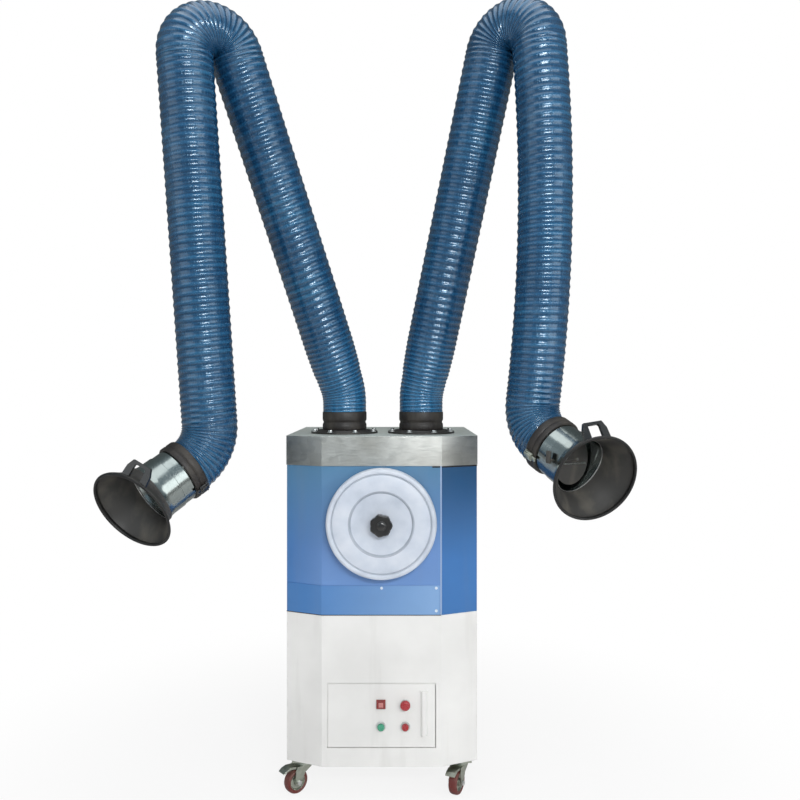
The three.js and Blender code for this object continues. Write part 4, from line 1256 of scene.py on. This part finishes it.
# %% Flange and cuff
RING_STEPS = 72
FLANGE_PROFILE = [
    (72.5, 1187.3), (116, 1187.3), (116, 1192.8), (114.8, 1194.3), (95.5, 1194.3), (93.8, 1195.5),
    (92.5, 1198.5), (91, 1199.3), (72.5, 1199.3),
]
CUFF_PROFILE = [
    (70.4, 1181), (70.4, 1200), (75.5, 1200.5), (76.7, 1203), (76.7, 1216.5), (75.7, 1220.5),
    (73.8, 1223.5), (73.5, 1226), (74.2, 1228.5), (76.2, 1232), (76.9, 1236), (76.9, 1258.5),
    (75.8, 1261.2), (72, 1261.8), (66, 1261.5), (66, 1181),
]
BAR_BLOCK = ((-0.009, -0.067, 1.201), (0.009, 0.067, 1.213), 0.0015)
CHEEK_HALF, CHEEK_IN, CHEEK_OUT, CHEEK_EDGE = 0.014, 0.012, 0.017, 0.0012
CHEEK_LOW, CHEEK_HIGH = 1.205, SHOULDER_Z + 0.015
PIN_R = 0.006

for hand in HANDS:
    upright = ROUTE[hand].plane
    ring = moved(turned(FLANGE_PROFILE, RING_STEPS), upright)
    keep(ring, f"flange_ring_{hand}", BLACK_COAT, "cabinet", [f"swivel_flange_{hand}"])
    cuff = turned(CUFF_PROFILE, RING_STEPS)
    add_block(cuff, *BAR_BLOCK)
    for low_y, high_y in ((-CHEEK_OUT, -CHEEK_IN), (CHEEK_IN, CHEEK_OUT)):
        add_block(cuff, (-CHEEK_HALF, low_y, CHEEK_LOW), (CHEEK_HALF, high_y, CHEEK_HIGH), CHEEK_EDGE)
    add_rod(cuff, PIN_R, (0, -CHEEK_OUT, SHOULDER_Z), (0, CHEEK_OUT, SHOULDER_Z), 20)
    moved(cuff, upright)
    keep(cuff, f"turning_cuff_{hand}", CUFF_RUBBER, f"arm_base_{hand}", [f"hose_cuff_{hand}"])

# %% [markdown]
# ## Nozzle and hood
# The hose ends under a rubber clamp. Below it comes a bright rolled nozzle with a bead and a seam step,
# then a black flared hood with an edging round its mouth. They could be placed and turned as objects, but a
# place in the mesh is what the export needs, so they are turned straight and laid on the route. The flare
# has a short bent route of its own, which leans its mouth to one side.

# %% Clamp, nozzle and hood
NOZZLE_STEPS = 96
CLAMP_PROFILE = [
    (83.8, 0.3), (88.5, 0.3), (90.5, 1.5), (91.9, 4.5), (92, 19), (91, 21.6), (89.5, 24), (91, 26.6),
    (92, 29), (91.5, 40.5), (90, 42.8), (83.8, 43),
]
NOZZLE_PROFILE = [
    (82.4, 4), (82.4, 44.5), (83.6, 45.2), (84.5, 46.6), (84.5, 81.5), (85.1, 82.3), (86.5, 83),
    (86.6, 85), (86.9, 123), (87.6, 129), (88.9, 135), (91, 140), (88.5, 140), (86.8, 133.5),
    (85.1, 127), (84.3, 120), (84.2, 84), (82.5, 80), (82.5, 47), (79.8, 43), (79.8, 4),
]
FLARE_PROFILE = [
    (92.6, 0.4), (93.6, 8), (95.5, 15.5), (98.5, 22.5), (102.5, 30), (107.5, 38.5), (113.5, 46.5),
    (120, 54.5), (126.5, 62.5), (131.5, 69), (132.8, 71.5), (132.8, 79.5), (131.2, 79.5), (130.8, 73),
    (129.2, 69.2), (124, 62.5), (117.5, 54.5), (111, 46.5), (105, 38.5), (100, 30), (96, 22.5),
    (93, 15.5), (90.8, 8), (89.2, 0.4),
]
SPIDER_HALF, SPIDER_REACH, SPIDER_EDGE = 0.009, 0.081, 0.0015
SPIDER_LOW, SPIDER_HIGH = 0.008, 0.018
STEM_R, STEM_FROM, STEM_TO = 0.011, 0.02 - WRIST_AFTER, 0.014


def bead(middle_r, middle_z, radius, points):
    angles = [math.radians(360 * step / points) for step in range(points)]
    return [(middle_r + radius * math.cos(angle), middle_z + radius * math.sin(angle)) for angle in angles]


EDGING_PROFILE = bead(130.4, 77.2, 4.6, 12)
for hand, route in ROUTE.items():
    body = f"hood_{hand}"
    end = route.hose_end
    clamp = turned(CLAMP_PROFILE, NOZZLE_STEPS, lift=end)
    route.lay(clamp.verts, True)
    keep(clamp, f"clamp_band_{hand}", CUFF_RUBBER, body, [f"hood_cuff_{hand}"])

    shell = turned(NOZZLE_PROFILE, NOZZLE_STEPS, lift=end)
    spider_low = (-SPIDER_HALF, -SPIDER_REACH, end + SPIDER_LOW)
    add_block(shell, spider_low, (SPIDER_HALF, SPIDER_REACH, end + SPIDER_HIGH), SPIDER_EDGE)
    add_rod(shell, STEM_R, (0, 0, end + STEM_FROM), (0, 0, end + STEM_TO), 20)
    route.lay(shell.verts, True)
    keep(shell, f"rolled_nozzle_{hand}", NOZZLE_STEEL, body, [f"nozzle_{hand}"])

    flare = turned(FLARE_PROFILE, NOZZLE_STEPS)
    route.lay_flare(flare)
    keep(flare, f"flared_hood_{hand}", HOOD_PLASTIC, body, [f"hood_{hand}"])
    edging = turned(EDGING_PROFILE, NOZZLE_STEPS)
    route.lay_flare(edging)
    keep(edging, f"mouth_edging_{hand}", RIM_RUBBER, body)

# %% [markdown]
# ## Latch, rivets and damper
# A toggle latch draws the clamp tight: a base, a lever and a hook, with a pin at each side. It could be
# modelled link by link, but it is as small as a thumb, so three rounded blocks and two rods are enough.

# %% Toggle latch
LATCH_TURN = {"left": math.radians(-36), "right": math.radians(200)}
LATCH_FINISH = {"left": KNOB_PLASTIC, "right": ZINC}
LATCH_BLOCKS = [
    ((-0.013, 0.0905, 0.008), (0.013, 0.099, 0.036), 0.0015),
    ((-0.009, 0.098, 0.006), (0.009, 0.1025, 0.032), 0.0015),
    ((-0.0065, 0.0925, 0.034), (0.0065, 0.0975, 0.05), 0.0012),
]
LATCH_PIN_R, LATCH_PIN_FROM, LATCH_PIN_TO = 0.003, 0.013, 0.0165
LATCH_PIN_OUT, LATCH_PIN_ALONG = 0.098, 0.012


def toggle_latch(hand, route):
    at_clamp = Matrix.Translation((0, 0, route.hose_end)) @ Matrix.Rotation(LATCH_TURN[hand], 4, "Z")
    latch = bmesh.new()
    for block in LATCH_BLOCKS:
        add_block(latch, *block, at_clamp)
    for side in (-1, 1):
        pin_from = at_clamp @ Vector((side * LATCH_PIN_FROM, LATCH_PIN_OUT, LATCH_PIN_ALONG))
        pin_to = at_clamp @ Vector((side * LATCH_PIN_TO, LATCH_PIN_OUT, LATCH_PIN_ALONG))
        add_rod(latch, LATCH_PIN_R, pin_from, pin_to, 16)
    route.lay(latch.verts, True)
    return latch


print("latch blocks", len(LATCH_BLOCKS))

# %% [markdown]
# Two rivets hold the bail handle to the hood. They could be spheres pushed into it, but then their tails
# would be missing inside the mouth. So a turned head and a turned tail are set square to the slope of the
# flare, and both are bent with it.

# %% Rivets of the handle
HANDLE_AT = {"left": math.radians(54), "right": math.radians(-59)}
RIVET_SPREAD = math.radians(13.6)
RIVET_R = 5.8
RIVET_HEAD = [(0, 0), (RIVET_R, 0), (RIVET_R * 0.86, 1.4), (RIVET_R * 0.5, 2.4), (0, 2.8)]
RIVET_TAIL = [(0, 0), (4.2, 0), (4.2, 3), (2.8, 3.4), (2.8, 13.2), (0, 14)]
FLARE_SLOPE = math.radians(40)
HEAD_SIDE = Matrix.Translation((0.1228, 0, 0.061)) @ Matrix.Rotation(FLARE_SLOPE - math.radians(90), 4, "Y")
TAIL_SIDE = HEAD_SIDE @ Matrix.Translation((0, 0, -0.0026)) @ Matrix.Rotation(math.pi, 4, "X")


def handle_rivets(hand, route):
    rivets = bmesh.new()
    for side in (-1, 1):
        around = Matrix.Rotation(HANDLE_AT[hand] + side * RIVET_SPREAD, 4, "Z")
        add_shape(rivets, moved(turned(RIVET_HEAD, 20, False), around @ HEAD_SIDE))
        add_shape(rivets, moved(turned(RIVET_TAIL, 16, False), around @ TAIL_SIDE))
    route.lay_flare(rivets)
    return rivets


print("rivet heads", 2 * RIVET_R, "mm wide")

# %% [markdown]
# A butterfly plate in the nozzle is set by a small lever outside. Plate, spindle and lever could be three
# objects, but they turn as one, so they are one mesh. The bright strap that stiffens the plate has another
# finish and gets a mesh of its own.

# %% Damper
DAMPER_AT = 0.104
DAMPER_TURN = math.radians(-24)
DAMPER_R, DAMPER_HALF = 76, 1.5
DAMPER_PROFILE = [(0, -DAMPER_HALF), (DAMPER_R, -DAMPER_HALF), (DAMPER_R, DAMPER_HALF), (0, DAMPER_HALF)]
SPINDLE_ROD = (0.005, (0, -0.101, 0), (0, 0.02, 0), 24)
LEVER_BLOCK = ((-0.028, -0.104, -0.008), (0.009, -0.097, 0.008), 0.002)
STRAP_ROD = (0.0026, (0.012, -0.062, 0.0042), (0.012, 0.062, 0.0042), 16)
STUD_R, STUD_LOW, STUD_HIGH = 0.0045, 0.0016, 0.0045
STUD_ACROSS = (-0.045, 0.025)


def damper_shapes(route):
    plate = turned(DAMPER_PROFILE, RING_STEPS, False)
    add_rod(plate, *SPINDLE_ROD)
    add_block(plate, *LEVER_BLOCK)
    strap = bmesh.new()
    add_rod(strap, *STRAP_ROD)
    for across in STUD_ACROSS:
        add_rod(strap, STUD_R, (0, across, STUD_LOW), (0, across, STUD_HIGH), 16)
    in_nozzle = Matrix.Translation((0, 0, route.hose_end + DAMPER_AT)) @ Matrix.Rotation(DAMPER_TURN, 4, "Y")
    for shape in (plate, strap):
        route.lay(moved(shape, in_nozzle).verts, True)
    return plate, strap


print("damper", 2 * DAMPER_R, "mm wide")

# %% [markdown]
# Both hoods get the same small pieces, and a thin bright ring that edges the throat. They could be made
# once and copied, but each arm has its own bends, so the functions run once for each.

# %% Small pieces of both hoods
THROAT_PROFILE = bead(87.4, 3, 1.2, 8)

for hand, route in ROUTE.items():
    body, damper = f"hood_{hand}", f"damper_{hand}"
    latch = toggle_latch(hand, route)
    keep(latch, f"toggle_latch_{hand}", LATCH_FINISH[hand], body)
    throat = turned(THROAT_PROFILE, NOZZLE_STEPS)
    route.lay_flare(throat)
    keep(throat, f"throat_ring_{hand}", BOLT_STEEL, body)
    rivets = handle_rivets(hand, route)
    keep(rivets, f"handle_rivets_{hand}", BOLT_STEEL, body)
    plate, strap = damper_shapes(route)
    keep(strap, f"damper_strap_{hand}", BOLT_STEEL, damper)
    keep(plate, f"butterfly_plate_{hand}", HOOD_PLASTIC, damper, [damper])
